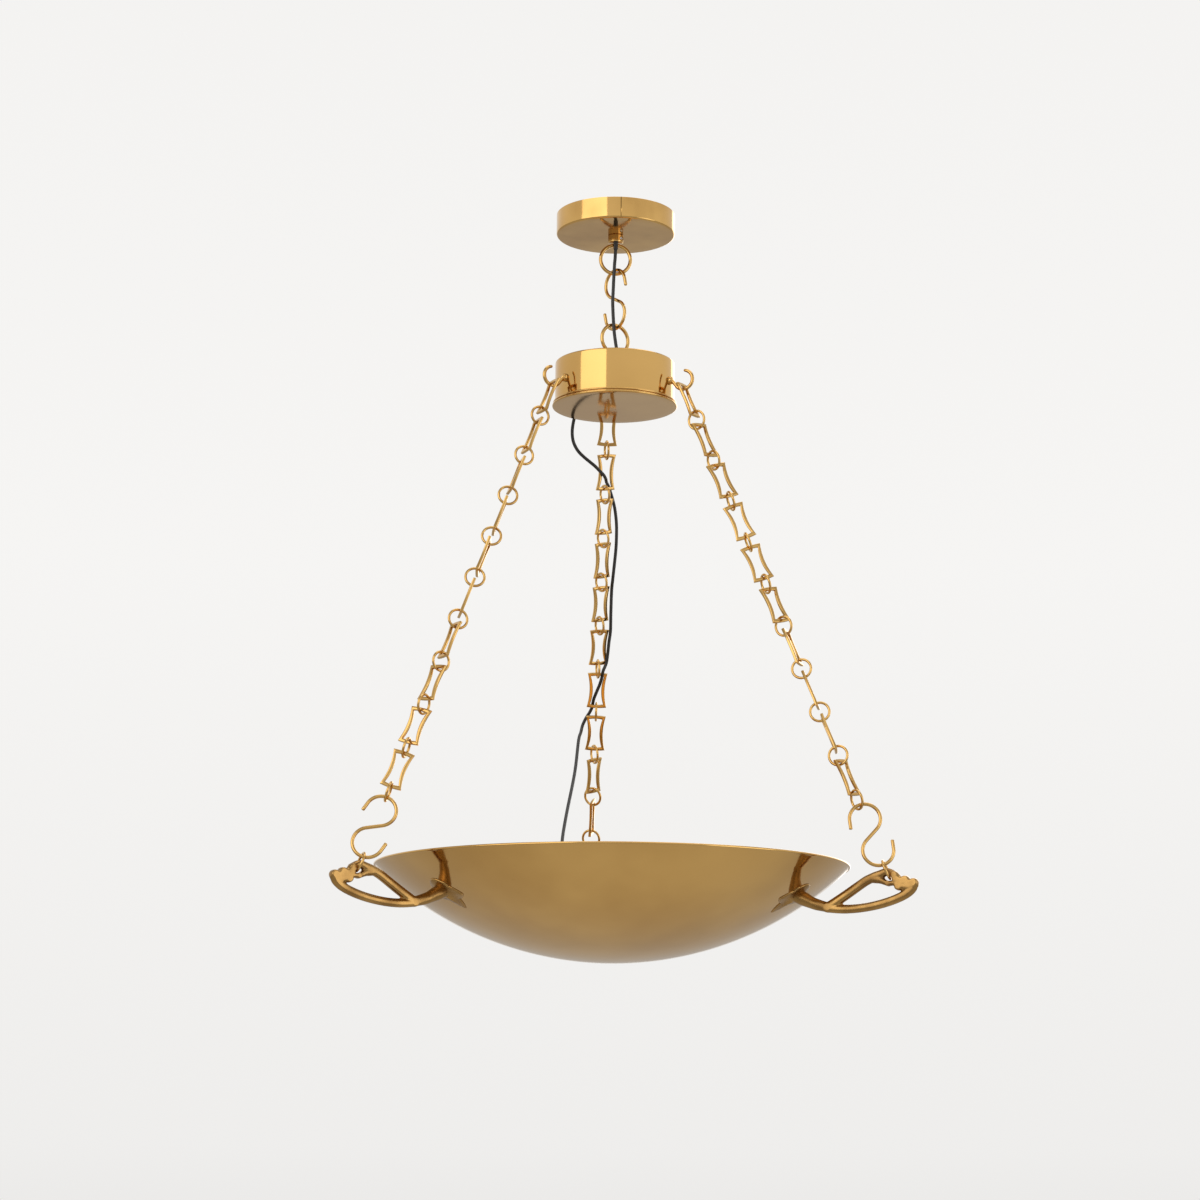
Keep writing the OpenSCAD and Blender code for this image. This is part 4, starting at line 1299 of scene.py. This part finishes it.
@dataclass
class Chain:
    """One chain: ten waisted links, ten rings, an S-hook and the ring on the arm."""

    plan: Plan
    shop: Shop
    arm: Arm
    turns: tuple[float, ...]
    hook_turn: float
    ring_turn: float
    width: float = 27.0
    waist: float = 20.5
    side_bar: float = 4.6
    end_bar: float = 4.3
    thick: float = 3.6
    bow: float = 1.0

    def outline(self, w: float, l: float, waist: float, count: int) -> list[Vector]:
        """The waisted outline of a link or of its window.

        Args:
            w: Its width at the ends.
            l: Its length at the corners.
            waist: Its width in the middle.
            count: How many steps half a side has.

        Returns:
            The outline, starting at the middle of its right side.
        """
        cut, half, bow = (w - waist) / 2, l / 2, self.bow
        side_r = (half**2 + cut**2) / (2 * cut)
        end_r = ((w / 2) ** 2 + bow**2) / (2 * bow)
        corner = asin(half / side_r)
        side = [(waist / 2 + side_r * (1 - cos(corner * i / count)), side_r * sin(corner * i / count))
                for i in range(count)]
        tip = asin(w / 2 / end_r)
        turns = [tip * (1 - i / 6) for i in range(6)]
        end = [(end_r * sin(turn), half + bow - end_r * (1 - cos(turn))) for turn in turns]
        quarter = side + end
        half_loop = quarter + [(0.0, half + bow)] + [(-x, y) for x, y in reversed(quarter)]
        return [Vector((x, y, 0)) for x, y in half_loop] + [Vector((-x, -y, 0)) for x, y in half_loop[1:-1]]

    def link(self) -> Shape:
        """Stamps one link with rounded edges.

        Returns:
            The link in the XY plane, with its length along Y.
        """
        outer = self.outline(self.width, self.plan.window_l + 2 * self.end_bar - 2 * self.bow, self.waist, 14)
        inner = self.outline(self.width - 2 * self.side_bar, self.plan.window_l - 2 * self.bow,
                             self.waist - 2 * self.side_bar, 14)
        h, shape, rows = self.thick / 2, Shape(), []
        for a, b in zip(inner, outer):
            way = (b - a).normalized()
            d = (b - a).length
            section = [(0.0, -h + 0.8), (0.22, -h + 0.24), (0.75, -h), (d - 0.85, -h), (d - 0.25, -h + 0.24),
                       (d, -h + 0.85)]
            section += [(x, -z) for x, z in reversed(section)]
            rows.append([a + way * x + Vector((0, 0, z)) for x, z in section])
        shape.grid([list(reversed(row)) for row in rows], True, True)
        return shape

    def build(self) -> None:
        """Builds the chain's four pieces."""
        p, key, body = self.plan, self.arm.key, self.arm.body
        link, links, rings = self.link(), Shape(), Shape()
        upright = rotate(90, "Z") @ rotate(90, "X")
        c, rod = p.chain_c, p.chain_rod
        for i, turn in enumerate(self.turns):
            after = self.turns[i + 1] if i + 1 < p.pairs else self.hook_turn
            s = p.ring_s(i)
            middle = s - p.ring_in + p.chain_gap - p.window_l / 2
            links.add(link, p.on_chain(self.arm, middle, turn) @ upright)
            rings.ring(c, rod, p.on_chain(self.arm, s, (turn + after) / 2) @ rotate(90, "X"), 48, 16)
        self.shop.make(f"{key}_chain_links", links, "drawn_brass", body, f"{key}_links", 50.0)
        self.shop.make(f"{key}_chain_rings", rings, "drawn_brass", body, f"{key}_rings")
        hook = s_hook(p).moved(p.on_chain(self.arm, p.hook_s + p.hook_l / 2, self.hook_turn) @ upright)
        self.shop.make(f"{key}_s_hook", hook, "drawn_brass", body, f"{key}_hook")
        ring = Shape()
        ring.ring(c, rod, p.on_chain(self.arm, p.arm_ring_s, self.ring_turn) @ rotate(90, "Y"),
                  56, 16)
        self.shop.make(f"{key}_ring_on_arm", ring, "drawn_brass", body, f"{key}_arm_ring")


@dataclass
class Castings:
    """The three cast arms: a pierced end with a scalloped edge, a stem, and a leaf that lies on the bowl."""

    plan: Plan
    shop: Shop
    voxel: float = 0.0009
    smooth_share: float = 0.5
    smooth_times: int = 9
    upper: tuple = ((-77, -40.5, 6, 6.2), (-60, -30.5, 6, 6), (-46, -21.8, 5.9, 6), (-36, -15.4, 5.8, 6),
                    (-27, -9.9, 5.9, 5.9), (-17, -5.6, 5.8, 5.7), (-8, -2.4, 5.4, 5.3), (0, 0, 4.8, 5),
                    (9, -3.4, 4.5, 5.4), (15, -9.2, 4.4, 5.8), (22.8, -11.4, 5.1, 6), (29.6, -15, 5, 6.1),
                    (34, -16, 5.6, 6.2))
    lower: tuple = ((33, -15, 5.8, 6), (31.5, -20.4, 6, 6), (24, -27, 5.7, 5.8), (10, -33.2, 5.6, 5.6),
                    (-8, -38.4, 5.5, 5.6), (-27, -41.8, 5.4, 5.6), (-46, -43.4, 5.4, 5.6),
                    (-62, -43, 5.6, 5.8), (-77, -41, 6, 6))
    stem: tuple = ((-77, -40.6, 6.2, 6.4), (-95, -35.5, 7.2, 7.8), (-111, -28, 9, 9.5), (-124, -22.5, 8.5, 9))
    brow: tuple = ((-20, -7.6, 5.2, 5.6), (-14, -8.4, 5.2, 5.6), (-8, -9.9, 4.4, 5.6),
                   (-3, -12.4, 3.6, 5.6), (1.5, -14.1, 3.2, 5.6), (6.5, -13.8, 3.1, 5.6),
                   (10.5, -14.2, 3.8, 5.7), (14.5, -17.2, 5.2, 5.8), (20, -17.4, 5.8, 6), (27, -19, 6.2, 6))
    lobes: tuple = ((9.3, -4.3, 5.1), (22.8, -10.8, 5.8), (33.6, -14.2, 5.8), (10.8, -9.4, 3.8),
                    (1.2, -14.0, 3.6), (14.7, -17.4, 5.7), (17, -12.5, 5.2), (28, -16, 5.8),
                    (-77, -40.8, 6.4))
    lobe_half: float = 6.6
    flat_half: float = 5.3
    ring_turns: tuple = (-15.0, 10.0)
    ring_room: float = 2.5
    leaf_r: float = 250.0
    leaf_turns: int = 288
    leaf_t: float = 1.15
    mound_h: float = 4.4
    ridge_h: float = 1.7
    flute_h: float = 0.32
    flute_turn: float = 6.5
    leaf_gap: float = 66.0
    leaf_tips: tuple = (34.0, 30.0, 22.0)
    leaf_back: float = 16.0
    foot_r: float = 246.0
    foot_pitch: float = 15.0

    def bar(self, shape: Shape, stations: Sequence[Sequence[float]]) -> None:
        """Runs a bar of the casting.

        Args:
            shape: The shape that gets it.
            stations: For each one the distance out and up from the seat, and half the height and width.
        """
        p = self.plan
        marks: list[int] = []
        line = smooth_line([(p.seat_r + a, 0, p.seat_z + b) for a, b, _, _ in stations], 2.0, marks)
        tall, wide = [], []
        for (m, one), (n, two) in zip(zip(marks, stations), zip(marks[1:], stations[1:])):
            for i in range(m, n):
                t = eased((i - m) / (n - m))
                tall.append(one[2] + (two[2] - one[2]) * t)
                wide.append(one[3] + (two[3] - one[3]) * t)
        shape.sweep(line, [*tall, stations[-1][2]], [*wide, stations[-1][3]], side=(0, 1, 0), sides=28)

    def ball(self, shape: Shape, at: Point, r: float) -> None:
        """Adds a lobe of the casting, a short barrel that lies across the arm.

        Args:
            shape: The shape that gets it.
            at: Its middle.
            r: Its radius.
        """
        bends = [radians(-86 + 172 * i / 16) for i in range(17)]
        rows = [[(at[0] + r * cos(b) ** 0.3 * cos(2 * pi * k / 24), at[1] + self.lobe_half * sin(b),
                  at[2] - r * cos(b) ** 0.3 * sin(2 * pi * k / 24)) for k in range(24)] for b in bends]
        shape.grid(rows)
        shape.cap(rows[0], False)
        shape.cap(rows[-1], True)

    def flatten(self, q: Vector) -> Vector:
        """Presses a point of the casting's head in towards the flat face of its side.

        Args:
            q: The point, in the XZ arm's frame.

        Returns:
            The point, moved along Y.
        """
        soft, away = 1.5, abs(q.y)
        start = self.flat_half - soft
        if away <= start:
            return q
        share = unit((q.x - self.plan.seat_r + 100) / 24)
        flat = start + soft * tanh((away - start) / soft)
        return Vector((q.x, (away + (flat - away) * share) * (1 if q.y > 0 else -1), q.z))

    def off_ring(self, q: Vector) -> Vector:
        """Keeps a point of the casting clear of the ring that hangs through it.

        Args:
            q: The point, in the XZ arm's frame.

        Returns:
            The point, pushed away from the ring's rod where it was too near.
        """
        p = self.plan
        for turn in self.ring_turns:
            place = p.on_chain(None, p.arm_ring_s, turn)
            here = place.inverted() @ q
            rod = Vector((0, here.y, here.z)).normalized() * p.chain_c
            gap = here - rod
            if 0 < gap.length < self.ring_room:
                q = place @ (rod + gap * (self.ring_room / gap.length))
        return q

    def core(self) -> bpy.types.Mesh:
        """Casts the arm without its leaf, run together into one skin.

        Returns:
            The mesh in metres, in the XZ plane.
        """
        p = self.plan
        shape = Shape()
        for bar in (self.upper, self.lower, self.stem, self.brow):
            self.bar(shape, bar)
        for out, up, r in self.lobes:
            self.ball(shape, (p.seat_r + out, 0, p.seat_z + up), r)
        rough = bpy.data.objects.new("arm_core", shape.mesh("arm_core"))
        bpy.context.scene.collection.objects.link(rough)
        melt = rough.modifiers.new("melt", "REMESH")
        melt.mode, melt.voxel_size, melt.use_smooth_shade = "VOXEL", self.voxel, True
        ease = rough.modifiers.new("ease", "SMOOTH")
        ease.factor, ease.iterations = self.smooth_share, self.smooth_times
        bpy.context.view_layer.update()
        done = bpy.data.meshes.new_from_object(rough.evaluated_get(bpy.context.evaluated_depsgraph_get()))
        bpy.data.objects.remove(rough)
        return done

    def leaf_point(self, turn: float, far: float, out: float) -> Vector:
        """A point of the leaf.

        Args:
            turn: Angle from the leaf's middle rib, in degrees.
            far: Distance from the leaf's root, in millimetres.
            out: Height above the bowl.

        Returns:
            The point, in the XZ arm's frame.
        """
        x, y = self.leaf_r - far * cos(radians(turn)), far * sin(radians(turn))
        r = hypot(x, y)
        tilt, around = asin(r / self.plan.ball_r), atan2(y, x)
        size = self.plan.ball_r + out
        return Vector((size * sin(tilt) * cos(around), size * sin(tilt) * sin(around),
                       self.plan.ball_z - size * cos(tilt)))

    def leaf_reach(self, turn: float) -> float:
        """How far the leaf reaches from its root.

        Args:
            turn: Angle from its middle rib, in degrees.

        Returns:
            The distance, in millimetres.
        """
        one, two, three = self.leaf_tips
        a = abs(turn) / self.leaf_gap
        length = one + (two - one) * min(a, 1) + (three - two) * unit(a - 1)
        lobed = length * (0.66 + 0.34 * self.tip(turn) ** 1.15)
        back = eased(unit((a - 1.45) / 0.6))
        return lobed * (1 - back) + self.leaf_back * back

    def tip(self, turn: float) -> float:
        """How near an angle of the leaf is to the middle of a lobe: 1 there, and 0 between two lobes."""
        half = self.leaf_gap / 2
        return 1 - abs((abs(turn) + half) % self.leaf_gap - half) / half

    def leaf(self) -> Shape:
        """Casts the low fluted leaf, with five pointed lobes, that the stem runs into.

        Returns:
            The leaf on the outside of the bowl, for an arm that points along +X.
        """
        turns = [turn - 180 for turn in full_turn(self.leaf_turns)]
        shares = [0.03, 0.1, 0.18, 0.26, 0.34, 0.42, 0.5, 0.58, 0.66,
                  0.73, 0.8, 0.86, 0.91, 0.95, 0.98, 1.0, 1.0]
        rows = []
        for n, share in enumerate(shares):
            row = []
            for turn in turns:
                far = share * self.leaf_reach(turn)
                into, side = far * cos(radians(turn)), far * sin(radians(turn))
                mound = self.mound_h * exp(-((into - 1) / 12) ** 2 - (side / 10.5) ** 2)
                front = unit((138 - abs(turn)) / 24)
                ridge = (self.ridge_h * self.tip(turn) ** 1.4 - 0.3) * min(1.0, 2.2 * share)
                ridge = ridge * (1.12 - share) * front
                flutes = self.flute_h * cos(2 * pi * turn / self.flute_turn) * min(1.0, 2.4 * share)
                flutes = flutes * (1.1 - share) * front
                edge = sqrt(max(0.0, 1 - (max(0.0, share - 0.8) / 0.2) ** 2))
                up = 0.3 + (self.leaf_t + mound + ridge + flutes) * edge
                row.append(self.leaf_point(turn, far, 0.13 if n == len(shares) - 1 else up))
            rows.append(row)
        shape = Shape()
        shape.grid([list(reversed(row)) for row in rows])
        shape.cap(list(reversed(rows[0])), False)
        return shape

    def build(self) -> None:
        """Casts the arm once and sets it at each of its three places."""
        p = self.plan
        core, middle = self.core(), Vector((0, 0, p.ball_z))
        shape = Shape()
        for v in core.vertices:
            q = v.co / MM
            away = (q - middle).length
            if away < p.ball_r + 0.15:
                q = middle + (q - middle) * ((p.ball_r + 0.15) / away)
            shape.points.append(self.off_ring(self.flatten(q)))
        shape.faces = [tuple(f.vertices) for f in core.polygons]
        bpy.data.meshes.remove(core)
        shape.add(self.leaf(), Matrix.Identity(4))
        for arm in Arm:
            self.shop.make(f"{arm.key}_arm_casting", shape.moved(arm.turned), "cast_brass", "bowl",
                           f"{arm.key}_arm", 70.0)
        self.fixings()

    def on_bowl(self, arm: Arm, r: float) -> Matrix:
        """Place on the outside of the bowl, with +Z out of the metal.

        Args:
            arm: The arm.
            r: Distance from the bowl's axis.

        Returns:
            The matrix.
        """
        p = self.plan
        return (arm.turned @ shift(0, 0, p.ball_z)
                @ Matrix.Rotation(pi - asin(r / p.ball_r), 4, "Y") @ shift(0, 0, p.ball_r))

    def fixings(self) -> None:
        """Turns the six screws and washers inside the bowl."""
        t = self.plan.bowl_t
        one, flat = Shape(), Shape()
        one.add(screw_head(3.55, 2.35, 0.55), shift(0, 0, -t - 0.9) @ Matrix.Rotation(pi, 4, "X"))
        one.spin([(2.0, -t - 1.0), (2.0, 1.0)], full_turn(18))
        flat.spin([(2.1, -t - 0.85), (4.3, -t - 0.85), (4.5, -t - 0.7), (4.5, -t - 0.15), (4.35, -t - 0.05),
                   (2.1, -t - 0.05)], full_turn(30), True)
        screws, washers = Shape(), Shape()
        for arm in Arm:
            for r in (self.foot_r, self.foot_r + self.foot_pitch):
                screws.add(one, self.on_bowl(arm, r))
                washers.add(flat, self.on_bowl(arm, r))
        self.shop.make("arm_fixing_screws", screws, "nickel", "bowl", "arm_screws")
        self.shop.make("arm_fixing_washers", washers, "zinc_steel", "bowl", "arm_washers")


@dataclass
class Bowl:
    """The wide spun bowl with the bead rolled round its rim."""

    plan: Plan
    shop: Shop
    columns: int = 288

    def build(self) -> None:
        """Spins the bowl."""
        p = self.plan
        r_in, r_out = p.ball_r - p.bowl_t, p.ball_r
        edge = p.bowl_r - p.bowl_t / 2

        def skin(radius: float, upto: float, count: int) -> list[tuple[float, float]]:
            """The outline of one side of the metal.

            Args:
                radius: Radius of the sphere that it is part of.
                upto: Distance from the axis at which it ends.
                count: How many equal steps it has.

            Returns:
                Its pairs of radius and height, from the axis out.
            """
            top = asin(upto / radius)
            return [(radius * sin(top * i / count), p.ball_z - radius * cos(top * i / count))
                    for i in range(count + 1)]

        outer = skin(r_out, edge - 0.2, 54)
        inner = skin(r_in, edge - 1.3, 54)
        bead = arc((edge, p.rim_z), p.rim_bead, -75, 215, 18)
        outline = [(0.02, outer[0][1]), *outer[1:], *bead, *reversed(inner[1:]), (0.02, inner[0][1])]
        shape = Shape()
        shape.spin(outline, full_turn(self.columns), True)
        self.shop.make("bowl_spinning", shape, "spun_brass", "bowl", "bowl", 50.0)


class Lamp(Around):
    """The three lamps in the bowl."""

    LEFT = 150
    RIGHT = 30
    FRONT = 270


@dataclass
class Lamps:
    """The tray in the bowl, with its three lampholders and bulbs."""

    plan: Plan
    shop: Shop
    tray_t: float = 1.5
    lamp_up: float = 28.0
    lamp_in: float = 44.0
    holder_d: float = 29.0
    holder_l: float = 44.0
    bulb_d: float = 45.0
    cap_d: float = 14.0
    cap_l: float = 26.0
    stud_d: float = 10.0

    @property
    def lamp_z(self) -> float:
        """Height of the lamps' axis."""
        return self.plan.tray_z + self.tray_t + self.lamp_up

    @property
    def mouth(self) -> float:
        """Distance of a lampholder's mouth from the bowl's axis."""
        return self.lamp_in + self.tray_t + GAP + self.holder_l

    def along(self, lamp: Lamp, out: float) -> Matrix:
        """Place on a lamp's axis, with +Z outward along it, at a distance from the bowl's axis."""
        return lamp.turned @ shift(out, 0, self.lamp_z) @ rotate(90, "Y")

    def bulb(self, lamp: Lamp) -> None:
        """Blows one golf-ball bulb.

        Args:
            lamp: Which one.
        """
        r, at = self.bulb_d / 2, self.bulb_d / 2 + 5
        neck = [(CORE, 0.6), (5.6, 0.6), (6.7, 0.9), (7.0, 1.5), (8.2, 2.6), (10.4, 4.2)]
        ball = [(x, at + y) for x, y in arc((0, 0), r, -54, 89.9, 40)]
        shape = Shape()
        shape.spin(neck + ball, full_turn(72))
        placed = shape.moved(self.along(lamp, self.mouth))
        self.shop.make(f"{lamp.key}_globe", placed, "opal_glass", "bowl", f"{lamp.key}_bulb")

    def holder(self, lamp: Lamp) -> None:
        """Moulds one lampholder, ribbed round its skirt, with its threaded tail.

        Args:
            lamp: Which one.
        """
        r, l = self.holder_d / 2, self.holder_l
        bore, deep = (self.cap_d + 1.5) / 2, self.cap_l + 0.5
        skirt: list[tuple[float, float]] = []
        for i in range(9):
            z = 17 + i * 2.7
            skirt += [(r, z), (r, z + 1.3), (r - 0.55, z + 1.65), (r - 0.55, z + 2.35)]
        outline = [(CORE, 0), (r - 3.2, 0), (r - 2.2, 1.0), (r - 1.6, 12.5), (r - 1.0, 13.2),
                   (r - 0.2, 13.6), (r, 14.4), *skirt, (r, l - 2.2), (r - 0.5, l - 0.5), (r - 1.2, l),
                   (bore + 0.8, l), (bore, l - 0.8), (bore, l - deep), (CORE, l - deep)]
        tail = [(CORE, -9.4)]
        for i in range(8):
            tail += [(self.stud_d / 2 - 0.55, -9.3 + i * 1.15), (self.stud_d / 2, -8.75 + i * 1.15)]
        tail += [(self.stud_d / 2, 0.1), (CORE, 0.1)]
        shape = Shape()
        angles = full_turn(60)
        shape.spin(outline, angles)
        shape.spin(tail, angles[::2])
        placed = shape.moved(self.along(lamp, self.lamp_in + self.tray_t + GAP))
        self.shop.make(f"{lamp.key}_holder_moulding", placed, "black_plastic", "bowl",
                       f"{lamp.key}_lampholder", 30.0)

    def caps(self) -> None:
        """Rolls the bulbs' screw caps, with a true thread and a solder point."""
        r, l = self.cap_d / 2, self.cap_l
        one = Shape()
        steps, pitch = 36, 2.9
        rows = []
        for i in range(76):
            z = 3 + (l - 2.6) * i / 75
            row = []
            for k in range(steps):
                a = 2 * pi * k / steps
                lift = 0.5 + 0.5 * cos(2 * pi * z / pitch - a)
                depth = 0.75 * (1 - lift) * min(1, (z - 3) / 2, (l + 0.4 - z) / 2 if z < l + 0.4 else 0)
                row.append(((r - depth) * cos(a), (r - depth) * sin(a), z))
            rows.append(row)
        one.grid(rows)
        one.cap(rows[-1], True)
        one.spin([(CORE, 0), (2.2, 0.05), (2.8, 0.5), (3.4, 1.6), (5.4, 2.7), (r, 3.0)], full_turn(36))
        shape = Shape()
        for lamp in Lamp:
            shape.add(one, self.along(lamp, self.mouth - l))
        self.shop.make("bulb_screw_caps", shape, "nickel", "bowl", "bulb_caps", 40.0)

    def grip(self) -> None:
        """Moulds the ribbed grip where the cord enters the tray."""
        foot = self.plan.tray_z + self.tray_t + GAP
        d = self.plan.cord_d
        outline = [(CORE, 0), (d / 2 + 4, 0), (d / 2 + 4, 0.6)]
        for i in range(6):
            z = 1.6 + i * 2.9
            wide = d / 2 + 4 - 2.5 * z / 20
            outline += [(wide - 0.1, z), (wide - 0.15, z + 1.6), (wide - 0.75, z + 1.95),
                        (wide - 0.8, z + 2.55)]
        outline += [(d / 2 + 1.5, 19.2), (d / 2 + 1.3, 20), (d / 2 + 0.1, 20), (d / 2 + 0.1, 4), (CORE, 4)]
        shape = Shape()
        shape.spin(outline, full_turn(40))
        placed = shape.moved(shift(self.plan.grip_x, 0, foot))
        self.shop.make("cord_grip_moulding", placed, "black_plastic", "bowl", "cord_grip")

    def build(self) -> None:
        """Builds the lamps and what carries them."""
        for lamp in Lamp:
            self.bulb(lamp)
            self.holder(lamp)
        self.caps()
        self.grip()
        self.shop.dress("zinc_steel", "lamp_tray", "lamp_nuts")
        self.shop.dress("drawn_brass", "tray_stud")
        self.shop.dress("white_ceramic", "bowl_terminal")
        self.shop.dress("white_plastic", "lamp_leads")


def main() -> None:
    """Builds the scene, piece by piece."""
    logging.basicConfig(level=logging.INFO, format="%(message)s")
    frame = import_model()
    bpy.context.scene.view_settings.view_transform = "Standard"
    shop = Shop(frame, Finishes())
    Studio().build()
    for group in (Cords, CeilingGroup, Suspension, Hub):
        group(PLAN, shop).build()
    Chain(PLAN, shop, Arm.LEFT, (-5, -10, -20, -30, -35, -25, -5, 15, 40, 55), 55, -15).build()
    Chain(PLAN, shop, Arm.RIGHT, (-5, -20, -45, -65, -60, -35, 5, 15, 20, -15), -65, 10).build()
    Chain(PLAN, shop, Arm.BACK, (-5, 20, 30, 35, 30, 15, -5, -5, 40, 75), 60, -15).build()
    for group in (Castings, Bowl, Lamps):
        group(PLAN, shop).build()


if __name__ == "__main__":
    main()
